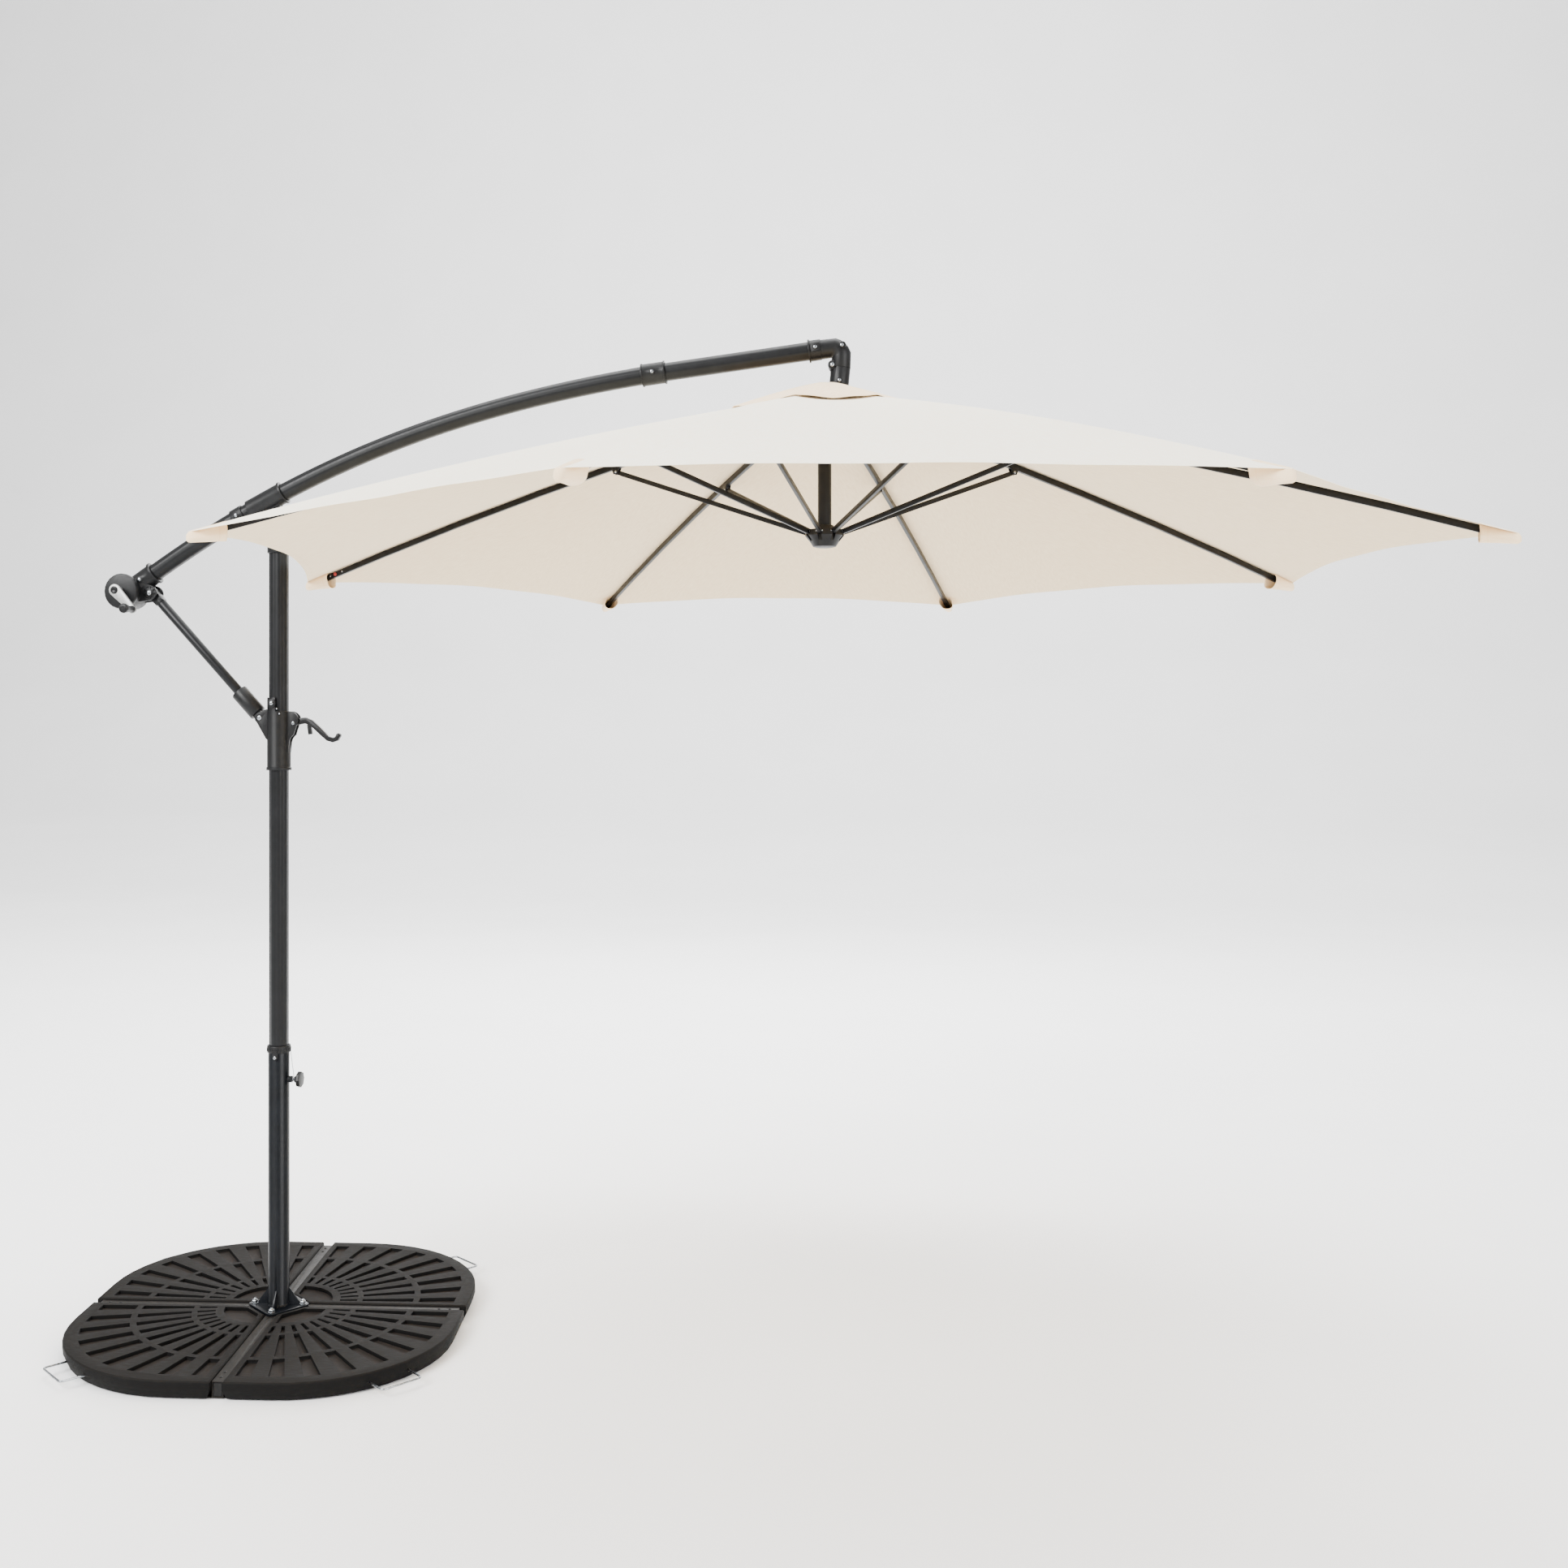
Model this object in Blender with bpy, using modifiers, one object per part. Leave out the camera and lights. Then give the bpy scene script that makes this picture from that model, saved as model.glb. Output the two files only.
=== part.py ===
"""Cantilever patio umbrella with a cross base and four weight plates.

Metres, +Z up. The origin is on the ground under the mast's axis, +X runs along the arm to the canopy.
"""
import bpy
import bmesh
from math import atan2, cos, hypot, pi, radians, sin, sqrt
from mathutils import Matrix, Vector

GAP = 0.0003            # between pieces that touch
RIBS = 8

# Base
BASE_TURN = radians(5.75)   # the cross is turned this far from the arm
GAP_HALF = 0.0145           # half the gap between two plates
PLATE_EDGE = 0.4854         # plate's straight outer edges, from the mast
PLATE_CORNER_R = 0.365
PLATE_FOOT_CUT = 0.088      # x + y of the corner cut round the foot
PLATE_BOTTOM = 0.0033
PLATE_TOP = 0.045
POCKET_FLOOR = 0.036
FAN = 0.026                 # centre of the fan pattern, in x and y
FAN_POCKETS = 9
FAN_PITCH = radians(10.4)
FAN_RINGS = ((0.125, 0.170, 0.36), (0.184, 0.316, 0.40), (0.332, None, 0.46))
FAN_BORDER = 0.036
LEG_HALF = 0.0135
LEG_TOP = 0.040
LEG_END = 0.470
BOLT_CIRCLE_R = 0.063
BOLT_HOLE_R = 0.0043
HANDLE_HALF = 0.053
HANDLE_WIRE_R = 0.00275
HANDLE_Z = 0.022
HANDLE_OUT = 0.5865
HANDLE_IN = 0.500

# Mast
POLE_R, POLE_BORE = 0.027, 0.0254
POLE_TOP = 0.708
MAST_R, MAST_BORE = 0.0249, 0.0229
MAST_BOTTOM, MAST_TOP = 0.46, 2.035
KNOB_Z = 0.627
ARM_PIVOT = Vector((0, 0, 2.080))
TAIL_PIVOT = Vector((-0.347, 0, 1.886))
SLIDER_PIVOT = Vector((-0.046, 0, 1.560))
LEVER_PIVOT = Vector((0.043, 0, 1.546))

# Arm
ARM_R, ARM_BORE = 0.0225, 0.0205
ARM_TAIL = Vector((-0.365, 0, 1.9242))
ARM_TAIL_ANGLE, ARM_TAIL_HANDLE = radians(33.8), 0.52
ARM_JOINT = Vector((0.982, 0, 2.4147))
ARM_JOINT_ANGLE, ARM_JOINT_HANDLE = radians(7.3), 0.515
FRONT_ANGLE = radians(6.2)
CRANK_CENTRE = Vector((-0.412, 0, 1.889))

# Head
ELBOW_R = 0.0245
LEAN = radians(5.5)
TILT_PIVOT = Vector((1.4247, 0, 2.418))
KNUCKLE_BOTTOM = Vector((1.4387, 0, 2.3601))
KNUCKLE_LENGTH = 0.0522

# Canopy
CANOPY_X = 1.405
CANOPY_YAW = radians(9.5)
TIP_R, TIP_Z = 1.5, 1.944
CROWN_R, CROWN_Z = 0.050, 2.330
RIB_END = 1.493
RIB_HALF_W, RIB_HALF_H = 0.005, 0.008
RIB_BOW = 0.020
RIB_DROP = 0.0120           # rib's middle below the fabric's top
STRUT_ON_RIB = 0.524
STRUT_BELOW = 0.016
RUNNER_R, RUNNER_Z = 0.045, 2.012
SCALLOP = 0.066
SAG = 0.012
VENT_HOLE_R, VENT_R = 0.052, 0.245

for old in list(bpy.data.objects):
    bpy.data.objects.remove(old, do_unlink=True)
PARTS = bpy.data.collections.new("patio_umbrella")
CUTTERS = bpy.data.collections.new("cutters")
bpy.context.scene.collection.children.link(PARTS)
bpy.context.scene.collection.children.link(CUTTERS)


def finish(name, colour, roughness, metallic):
    """A plain Principled material."""
    made = bpy.data.materials.new(name)
    made.use_nodes = True
    shader = made.node_tree.nodes["Principled BSDF"]
    shader.inputs["Base Color"].default_value = (*colour, 1)
    shader.inputs["Roughness"].default_value = roughness
    shader.inputs["Metallic"].default_value = metallic
    return made


PAINT = finish("anthracite_powder_coat", (0.035, 0.036, 0.038), 0.45, 0.0)
PLASTIC = finish("black_nylon", (0.022, 0.022, 0.023), 0.5, 0.0)
ZINC = finish("bright_zinc", (0.75, 0.75, 0.74), 0.3, 1.0)
SILVER = finish("silver_cast_aluminium", (0.55, 0.55, 0.55), 0.4, 1.0)
PLATE = finish("weighted_resin", (0.04, 0.032, 0.027), 0.7, 0.0)
IVORY = finish("ivory_polyester", (0.88, 0.85, 0.78), 0.9, 0.0)
LEG = finish("base_steel", (0.10, 0.095, 0.09), 0.5, 0.4)


def place(obj, name, material=None, collection=PARTS):
    """Name an object, give it its finish and put it in its collection."""
    obj.name = name
    obj.data.name = name
    for owner in list(obj.users_collection):
        owner.objects.unlink(obj)
    collection.objects.link(obj)
    if material:
        obj.data.materials.clear()
        obj.data.materials.append(material)
    obj.hide_render = collection is CUTTERS
    obj.display_type = "WIRE" if collection is CUTTERS else "TEXTURED"
    return obj


def from_bmesh(bm, name, material=None, collection=PARTS, smooth=True):
    """Turn a bmesh into an object."""
    bmesh.ops.recalc_face_normals(bm, faces=bm.faces[:])
    mesh = bpy.data.meshes.new(name)
    bm.to_mesh(mesh)
    bm.free()
    if smooth:
        mesh.shade_smooth()
        mesh.set_sharp_from_angle(angle=radians(35))
    return place(bpy.data.objects.new(name, mesh), name, material, collection)


def rod(start, end, radius, sides=24, end_radius=None, name="rod"):
    """A capped cylinder, or a cone, between two points."""
    start, end = Vector(start), Vector(end)
    axis = end - start
    turn = axis.to_track_quat("Z", "Y").to_matrix().to_4x4()
    bm = bmesh.new()
    bmesh.ops.create_cone(bm, cap_ends=True, segments=sides, radius1=radius,
                          radius2=radius if end_radius is None else end_radius, depth=axis.length,
                          matrix=Matrix.Translation((start + end) / 2) @ turn)
    return from_bmesh(bm, name, None, CUTTERS)


def block(size, centre, turn=0.0, about="Y", name="block"):
    """A box of the given size, turned about one axis."""
    bm = bmesh.new()
    scale = Matrix.Diagonal((*size, 1))
    bmesh.ops.create_cube(bm, size=1, matrix=Matrix.Translation(centre) @ Matrix.Rotation(turn, 4, about) @ scale)
    return from_bmesh(bm, name, None, CUTTERS, smooth=False)


def turned(profile, sides=32, centre=(0, 0, 0), direction=(0, 0, 1), name="turned"):
    """A closed (radius, height) loop spun about an axis with a Screw modifier."""
    bm = bmesh.new()
    points = [bm.verts.new((r, 0, h)) for r, h in profile]
    for first, second in zip(points, points[1:] + points[:1]):
        if first.co.x > 1e-6 or second.co.x > 1e-6:
            bm.edges.new((first, second))
    mesh = bpy.data.meshes.new(name)
    bm.to_mesh(mesh)
    bm.free()
    obj = place(bpy.data.objects.new(name, mesh), name, None, CUTTERS)
    screw = obj.modifiers.new("spin", "SCREW")
    screw.steps = screw.render_steps = sides
    screw.use_merge_vertices = True
    screw.merge_threshold = 0.00002
    screw.use_normal_calculate = True
    obj.matrix_world = Matrix.Translation(centre) @ Vector(direction).to_track_quat("Z", "Y").to_matrix().to_4x4()
    return baked(obj)


def baked(obj):
    """The evaluated object as a plain welded mesh in world space."""
    bpy.context.view_layer.update()
    evaluated = obj.evaluated_get(bpy.context.evaluated_depsgraph_get())
    mesh = bpy.data.meshes.new_from_object(evaluated)
    mesh.transform(obj.matrix_world)
    bm = bmesh.new()
    bm.from_mesh(mesh)
    bmesh.ops.remove_doubles(bm, verts=bm.verts[:], dist=0.00002)
    bmesh.ops.dissolve_limit(bm, angle_limit=0.0005, verts=bm.verts[:], edges=bm.edges[:])
    name = obj.name
    bpy.data.objects.remove(obj, do_unlink=True)
    return from_bmesh(bm, name, None, CUTTERS)


def slab(outlines, thickness, frame, name="slab"):
    """A flat outline, with any holes, extruded both ways from its frame's XY plane."""
    curve = bpy.data.curves.new(name, "CURVE")
    curve.dimensions = "2D"
    curve.fill_mode = "BOTH"
    curve.extrude = thickness / 2
    for outline in outlines:
        spline = curve.splines.new("POLY")
        spline.points.add(len(outline) - 1)
        for point, (x, y) in zip(spline.points, outline):
            point.co = (x, y, 0, 1)
        spline.use_cyclic_u = True
    obj = place(bpy.data.objects.new(name, curve), name, None, CUTTERS)
    obj.matrix_world = frame
    return baked(obj)


def wire(points, radius, cyclic=False, resolution=2, name="wire"):
    """A round wire along points."""
    curve = bpy.data.curves.new(name, "CURVE")
    curve.dimensions = "3D"
    curve.bevel_depth = radius
    curve.bevel_resolution = resolution
    curve.use_fill_caps = True
    spline = curve.splines.new("POLY")
    spline.points.add(len(points) - 1)
    for point, place_at in zip(spline.points, points):
        point.co = (*place_at, 1)
    spline.use_cyclic_u = cyclic
    return baked(place(bpy.data.objects.new(name, curve), name, None, CUTTERS))


def arc(centre, radius, start, end, steps):
    """Points along an arc, angles in radians."""
    return [(centre[0] + radius * cos(start + (end - start) * i / steps),
             centre[1] + radius * sin(start + (end - start) * i / steps)) for i in range(steps + 1)]


def ring(centre, radius, steps):
    """A closed circle of points."""
    return arc(centre, radius, 0, 2 * pi * (steps - 1) / steps, steps - 1)


def combine(base, operation, tools):
    """Boolean a list of tools onto a base and apply the result."""
    for tool in tools:
        change = base.modifiers.new(operation, "BOOLEAN")
        change.operation = operation
        change.solver = "EXACT"
        change.object = tool
    made = baked(base)
    for tool in tools:
        bpy.data.objects.remove(tool, do_unlink=True)
    return made


def join(base, *tools):
    """Boolean union."""
    return combine(base, "UNION", tools)


def cut(base, *tools):
    """Boolean difference."""
    return combine(base, "DIFFERENCE", tools)


def part(obj, name, material, pivot=None):
    """Keep a finished solid, with its origin on its pivot."""
    if pivot is not None:
        obj.data.transform(Matrix.Translation(-Vector(pivot)))
        obj.location = pivot
    return place(obj, name, material)


def side_frame(at=(0, 0, 0), angle=0.0, y=0.0):
    """A frame whose X and Y run along world X and Z, turned by angle in that plane."""
    upright = Matrix.Rotation(pi / 2, 4, "X") @ Matrix.Rotation(angle, 4, "Z")
    return Matrix.Translation(Vector(at) + Vector((0, y, 0))) @ upright


def hull(points):
    """Convex outline of flat points, anticlockwise."""
    points = sorted(set(points))

    def chain(run):
        kept = []
        for p in run:
            while len(kept) > 1 and ((kept[-1][0] - kept[-2][0]) * (p[1] - kept[-2][1])
                                     - (kept[-1][1] - kept[-2][1]) * (p[0] - kept[-2][0])) <= 1e-12:
                kept.pop()
            kept.append(p)
        return kept[:-1]
    return chain(points) + chain(points[::-1])


# ---------------------------------------------------------------- base

def plate_outline(inset, corner_steps=12):
    """One quadrant plate's outline, pulled in by inset."""
    low, high = GAP_HALF + inset, PLATE_EDGE - inset
    centre, radius = PLATE_EDGE - PLATE_CORNER_R, PLATE_CORNER_R - inset
    foot = PLATE_FOOT_CUT + inset * sqrt(2)
    outline = [(foot - low, low), (high, low)]
    outline += arc((centre, centre), radius, 0, pi / 2, corner_steps)
    outline += [(low, high), (low, foot - low)]
    return outline


def edge_distance(angle, inset):
    """From the fan's centre to the inset outer outline, along an angle."""
    dx, dy = cos(angle), sin(angle)
    high, centre, radius = PLATE_EDGE - inset, PLATE_EDGE - PLATE_CORNER_R, PLATE_CORNER_R - inset
    best = min((high - FAN) / max(dx, 1e-6), (high - FAN) / max(dy, 1e-6))
    x, y = FAN + best * dx, FAN + best * dy
    if x > centre and y > centre:
        ox, oy = FAN - centre, FAN - centre
        along = ox * dx + oy * dy
        best = -along + sqrt(along * along - (ox * ox + oy * oy - radius * radius))
    return best


def fan_cutters():
    """Prisms for the recessed fan pattern."""
    outlines = []
    inner = FAN + 0.004
    foot = PLATE_FOOT_CUT + 0.016
    outlines.append([(foot - inner, inner)] + arc((FAN, FAN), 0.105, 0.038, pi / 2 - 0.038, 6)
                    + [(inner, foot - inner)])
    first = (pi / 2 - FAN_PITCH * (FAN_POCKETS - 1)) / 2
    for start, end, share in FAN_RINGS:
        for i in range(FAN_POCKETS):
            middle = first + i * FAN_PITCH
            corners = []
            for angle, far in ((-1, False), (-1, True), (1, True), (1, False)):
                a = middle + angle * FAN_PITCH * share / 2
                reach = start if not far else (end or edge_distance(a, FAN_BORDER))
                corners.append((FAN + reach * cos(a), FAN + reach * sin(a)))
            outlines.append(corners)
    lift = Matrix.Translation((0, 0, POCKET_FLOOR + 0.010))
    return slab(outlines, 0.020, lift, "fan_pattern")


def make_plates():
    """Four weight plates: a lofted block with the fan pattern and two handle bores."""
    layers = ((0.009, PLATE_BOTTOM), (0.0, PLATE_BOTTOM + 0.022), (0.0, PLATE_TOP - 0.003), (0.003, PLATE_TOP))
    bm = bmesh.new()
    loops = [[bm.verts.new((x, y, z)) for x, y in plate_outline(inset)] for inset, z in layers]
    count = len(loops[0])
    for lower, upper in zip(loops, loops[1:]):
        for i in range(count):
            bm.faces.new((lower[i], lower[(i + 1) % count], upper[(i + 1) % count], upper[i]))
    bm.faces.new(loops[0][::-1])
    bm.faces.new(loops[-1])
    body = from_bmesh(bm, "plate_body", None, CUTTERS)
    diagonal = Vector((1, 1, 0)).normalized()
    across = Vector((-1, 1, 0)).normalized()
    bores = []
    for side in (-1, 1):
        foot = across * side * HANDLE_HALF + Vector((0, 0, HANDLE_Z))
        bores.append(rod(foot + diagonal * 0.452, foot + diagonal * 0.60, HANDLE_WIRE_R + 0.0006, 8))
    body = cut(body, fan_cutters(), *bores)
    names = ("rear_right", "rear_left", "front_left", "front_right")
    for i, name in enumerate(names):
        obj = bpy.data.objects.new("plate", body.data.copy())
        obj.data.transform(Matrix.Rotation(BASE_TURN + i * pi / 2, 4, "Z"))
        part(obj, "weight_plate_" + name, PLATE)
        make_handle("plate_handle_" + name, BASE_TURN + i * pi / 2, diagonal, across)
    bpy.data.objects.remove(body, do_unlink=True)


def make_handle(name, turn, diagonal, across):
    """A U of wire that slides in the plate's two bores."""
    bend = 0.009
    flat = [(HANDLE_IN, -HANDLE_HALF)]
    flat += arc((HANDLE_OUT - bend, -HANDLE_HALF + bend), bend, -pi / 2, 0, 3)
    flat += arc((HANDLE_OUT - bend, HANDLE_HALF - bend), bend, 0, pi / 2, 3)
    flat += [(HANDLE_IN, HANDLE_HALF)]
    points = [diagonal * d + across * s + Vector((0, 0, HANDLE_Z)) for d, s in flat]
    obj = wire(points, HANDLE_WIRE_R)
    obj.data.transform(Matrix.Rotation(turn, 4, "Z"))
    part(obj, name, ZINC)


def make_cross():
    """Two crossed box legs on flat strips, with holes for the foot's bolts."""
    wall = 0.002
    strips, channels, hollows = [], [], []

    def bar(half, reach, low, high, quarter):
        """One leg pair's layer; the second pair is a hair thinner, so that no faces coincide."""
        low, high = low + quarter * 0.0001, high - quarter * 0.0001
        return block((2 * reach, 2 * half, high - low), (0, 0, (low + high) / 2), BASE_TURN + quarter * pi / 2, "Z")

    for quarter in range(2):
        strips.append(bar(0.040, LEG_END - 0.004, 0, 0.003, quarter))
        channels.append(bar(LEG_HALF, LEG_END, 0.0015, LEG_TOP, quarter))
        hollows.append(bar(LEG_HALF - wall, 0.5, 0.005, LEG_TOP - wall, quarter))
    holes = [rod(at + Vector((0, 0, 0.030)), at + Vector((0, 0, 0.05)), BOLT_HOLE_R, 12) for at in foot_bolt_places()]
    part(cut(cut(join(*strips, *channels), *hollows), *holes), "base_cross", LEG)


def foot_bolt_places():
    """Where the foot's four bolts stand, on the legs."""
    turns = [BASE_TURN + quarter * pi / 2 for quarter in range(4)]
    return [Vector((cos(turn), sin(turn), 0)) * BOLT_CIRCLE_R for turn in turns]


def make_pole():
    """Lower pole: tube, foot plate, four gussets and the lock screw's boss, welded together."""
    low = LEG_TOP + GAP
    lobes = []
    for at in foot_bolt_places():
        lobes += ring((at.x, at.y), 0.0145, 12)
    pole = slab([hull([(round(x, 7), round(y, 7)) for x, y in lobes])], 0.006, Matrix.Translation((0, 0, low + 0.003)))
    gussets = []
    for quarter in range(4):
        turn = BASE_TURN + quarter * pi / 2
        outline = [(0.020, low + 0.004), (0.0545, low + 0.004), (0.0545, low + 0.010), (0.0275, low + 0.047),
                   (0.020, low + 0.047)]
        frame = Matrix.Rotation(turn, 4, "Z") @ Matrix.Rotation(pi / 2, 4, "X")
        gussets.append(slab([outline], 0.005, frame))
    shaft = rod((0, 0, low + 0.002), (0, 0, POLE_TOP), POLE_R, 24)
    weld = turned([(POLE_R + 0.003, low + 0.005), (POLE_R - 0.003, low + 0.005), (POLE_R - 0.003, low + 0.010),
                   (POLE_R + 0.0001, low + 0.010)], 20)
    boss = rod((0.020, 0, KNOB_Z), (0.0365, 0, KNOB_Z), 0.0085, 14)
    pole = join(pole, shaft, weld, boss, *gussets)
    holes = [rod((0, 0, -0.01), (0, 0, 1.0), POLE_BORE, 24), rod((0.010, 0, KNOB_Z), (0.05, 0, KNOB_Z), 0.0038, 8)]
    for at in foot_bolt_places():
        holes.append(rod(at + Vector((0, 0, 0.03)), at + Vector((0, 0, 0.06)), BOLT_HOLE_R, 10))
    part(cut(pole, *holes), "lower_pole", PAINT)


def make_collar_and_lock():
    """Collar over the pole's top, the lock screw with its knob, and the knob's wire tether."""
    low, lip, high = 0.6975, POLE_TOP + GAP, 0.7145
    profile = [(0.0295, high), (0.0303, high - 0.002), (0.0303, low), (MAST_R + 0.0006, low), (MAST_R + 0.0006, high)]
    collar = turned(profile, 24)
    tab = rod((0.002, -0.0285, 0.687), (0.002, -0.0325, 0.687), 0.0068, 12)
    link_up = block((0.0136, 0.0045, 0.016), (0.002, -0.03055, 0.696))
    collar = cut(join(collar, link_up, tab), rod((0, 0, 0.67), (0, 0, lip), POLE_R + GAP, 24))
    part(collar, "mast_collar", PLASTIC)
    stud = turned([(0, 0.0262), (0.0027, 0.0262), (0.0034, 0.0272), (0.0034, 0.0478), (0, 0.0478)][::-1], 14,
                  (0, 0, KNOB_Z), (1, 0, 0))
    part(stud, "lock_screw", ZINC, (0, 0, KNOB_Z))
    lobed = [((0.0205 - 0.0022 * (i % 2)) * cos(pi * i / 8), (0.0205 - 0.0022 * (i % 2)) * sin(pi * i / 8))
             for i in range(16)]
    disc = slab([lobed], 0.009, Matrix.Translation((0.0565, 0, KNOB_Z)) @ Matrix.Rotation(pi / 2, 4, "Y"))
    hub = rod((0.0440, 0, KNOB_Z), (0.0560, 0, KNOB_Z), 0.0082, 20, 0.0105)
    knob = cut(join(disc, hub), rod((0.04, 0, KNOB_Z), (0.0481, 0, KNOB_Z), 0.0037, 14))
    part(knob, "lock_knob", PLASTIC, (0, 0, KNOB_Z))
    loop = [(0.0405, 0.0055 * sin(a), KNOB_Z + 0.0055 * cos(a)) for a in (5.4, 4.6, 3.8, 3.1, 2.4, 1.6, 0.8, 0.0)]
    run = [(0.0398, 0, 0.642), (0.0372, 0, 0.660), (0.0345, 0, 0.680), (0.0325, 0, 0.696), (0.0318, 0, 0.7065)]
    part(wire(loop + run, 0.0008), "knob_tether", ZINC)


def make_mast():
    """Upper mast: a fluted tube."""
    flutes, steps = 8, 6
    outline = []
    for i in range(flutes * steps):
        phase = (i % steps) / steps
        radius = MAST_R - 0.0010 * sin(pi * phase) ** 2
        angle = 2 * pi * i / (flutes * steps) + radians(12)
        outline.append((radius * cos(angle), radius * sin(angle)))
    middle = (MAST_TOP + MAST_BOTTOM) / 2
    mast = slab([outline, ring((0, 0), MAST_BORE, 24)], MAST_TOP - MAST_BOTTOM, Matrix.Translation((0, 0, middle)))
    part(mast, "mast_tube", PAINT)


def make_mast_top():
    """Fork on the mast's top that carries the arm, with its bolt."""
    low, seat, top = 1.985, MAST_TOP + GAP, MAST_TOP + 0.008
    profile = [(0, top), (0.027, top), (0.0295, top - 0.003), (0.0295, low + 0.002), (0.0285, low),
               (MAST_R + GAP, low), (MAST_R + GAP, seat), (0, seat)]
    bracket = turned(profile, 24)
    ears = []
    for side in (-1, 1):
        outline = [(-0.0165, MAST_TOP + 0.002 - ARM_PIVOT.z), (0.0165, MAST_TOP + 0.002 - ARM_PIVOT.z)]
        outline += arc((0, 0), 0.0165, 0, pi, 8)
        ears.append(slab([outline], 0.005, side_frame(ARM_PIVOT, y=side * 0.018)))
    bracket = join(bracket, *ears)
    bracket = cut(bracket, rod(ARM_PIVOT - Vector((0, 0.04, 0)), ARM_PIVOT + Vector((0, 0.04, 0)), 0.0053, 12))
    part(bracket, "mast_top_fork", PLASTIC)
    pin = turned([(0, 0.0255), (0.006, 0.025), (0.0085, 0.0225), (0.0085, 0.0208), (0.005, 0.0208),
                  (0.005, -0.0208), (0.0085, -0.0208), (0.0085, -0.0225), (0.006, -0.025), (0, -0.0255)],
                 16, ARM_PIVOT, (0, 1, 0))
    part(pin, "arm_pivot_bolt", ZINC, ARM_PIVOT)


def make_slider():
    """Sliding bracket on the mast: sleeve, cheeks for the strut, ears for the lever."""
    low, top, upstand = 1.425, 1.577, 1.612
    bore = MAST_R + 0.0006
    sleeve = turned([(0.0292, top), (0.0302, top - 0.001), (0.0302, low + 0.008), (0.0322, low + 0.007),
                     (0.0322, low), (bore, low), (bore, top)], 24)
    crest = turned([(0.0299, upstand), (0.0299, top - 0.02), (bore - 0.001, top - 0.02), (bore - 0.001, upstand)], 24)
    crest = cut(crest, block((0.08, 0.08, 0.08), (0.042, 0, upstand)), block((0.08, 0.08, 0.08), (-0.0, 0.042, upstand)))
    px, pz = SLIDER_PIVOT.x, SLIDER_PIVOT.z
    cheeks = []
    for side in (-1, 1):
        outline = arc((px, pz), 0.0135, radians(100), radians(235), 8) + [(-0.0285, 1.506), (-0.0200, 1.500),
                                                                     (-0.0200, 1.582), (-0.0285, 1.582)]
        cheeks.append(slab([outline], 0.0045, side_frame(y=side * 0.0152)))
    lx, lz = LEVER_PIVOT.x, LEVER_PIVOT.z
    ears = []
    for side in (-1, 1):
        outline = [(0.020, 1.5765), (0.034, 1.5765)] + arc((lx - 0.009, lz + 0.008), 0.0225, radians(80), radians(-40), 8)
        outline += arc((0.0600, 1.4920), 0.0290, radians(125), radians(172), 5) + [(0.0285, 1.470), (0.020, 1.470)]
        ears.append(slab([outline], 0.0035, side_frame(y=side * 0.0090)))
    boss = rod((-0.007, -0.022, 1.597), (-0.007, -0.0325, 1.597), 0.0105, 12)
    body = join(sleeve, crest, boss, *cheeks, *ears)
    holes = [rod((px, -0.05, pz), (px, 0.05, pz), 0.0042, 10),
             rod((0, 0, 1.3), (0, 0, 1.7), bore, 24)]
    part(cut(body, *holes), "slider_bracket", PLASTIC)
    pin = turned([(0, 0.0205), (0.0052, 0.0202), (0.0065, 0.0188), (0.0065, 0.0178), (0.0039, 0.0178),
                  (0.0039, -0.0178), (0.0065, -0.0178), (0.0065, -0.0188), (0.0052, -0.0202), (0, -0.0205)],
                 14, SLIDER_PIVOT, (0, 1, 0))
    part(pin, "strut_base_bolt", ZINC, SLIDER_PIVOT)


def make_lever():
    """Hooked lock lever between the slider's ears."""
    line = [(0.000, 0.001, 0.0088), (0.014, 0.005, 0.0085), (0.030, 0.007, 0.0078), (0.046, 0.001, 0.0072),
            (0.062, -0.013, 0.0068), (0.078, -0.028, 0.0064), (0.092, -0.040, 0.0060), (0.104, -0.0435, 0.0058),
            (0.114, -0.040, 0.0058), (0.119, -0.031, 0.0056)]
    upper, lower = [], []
    for i, (x, z, half) in enumerate(line):
        ahead, behind = line[min(i + 1, len(line) - 1)], line[max(i - 1, 0)]
        angle = atan2(ahead[1] - behind[1], ahead[0] - behind[0])
        upper.append((x - half * sin(angle), z + half * cos(angle)))
        lower.append((x + half * sin(angle), z - half * cos(angle)))
    tip = arc(line[-1][:2], line[-1][2], radians(-20), radians(150), 4)
    heel = arc(line[0][:2], line[0][2], radians(110), radians(260), 5)
    outline = heel + lower[1:-1] + tip + upper[-2:0:-1]
    lever = slab([outline], 0.0120, side_frame(LEVER_PIVOT))
    tab = block((0.009, 0.010, 0.026), LEVER_PIVOT + Vector((0.041, 0, -0.016)), radians(-8))
    part(join(lever, tab), "lock_lever", PLASTIC, LEVER_PIVOT)


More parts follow.
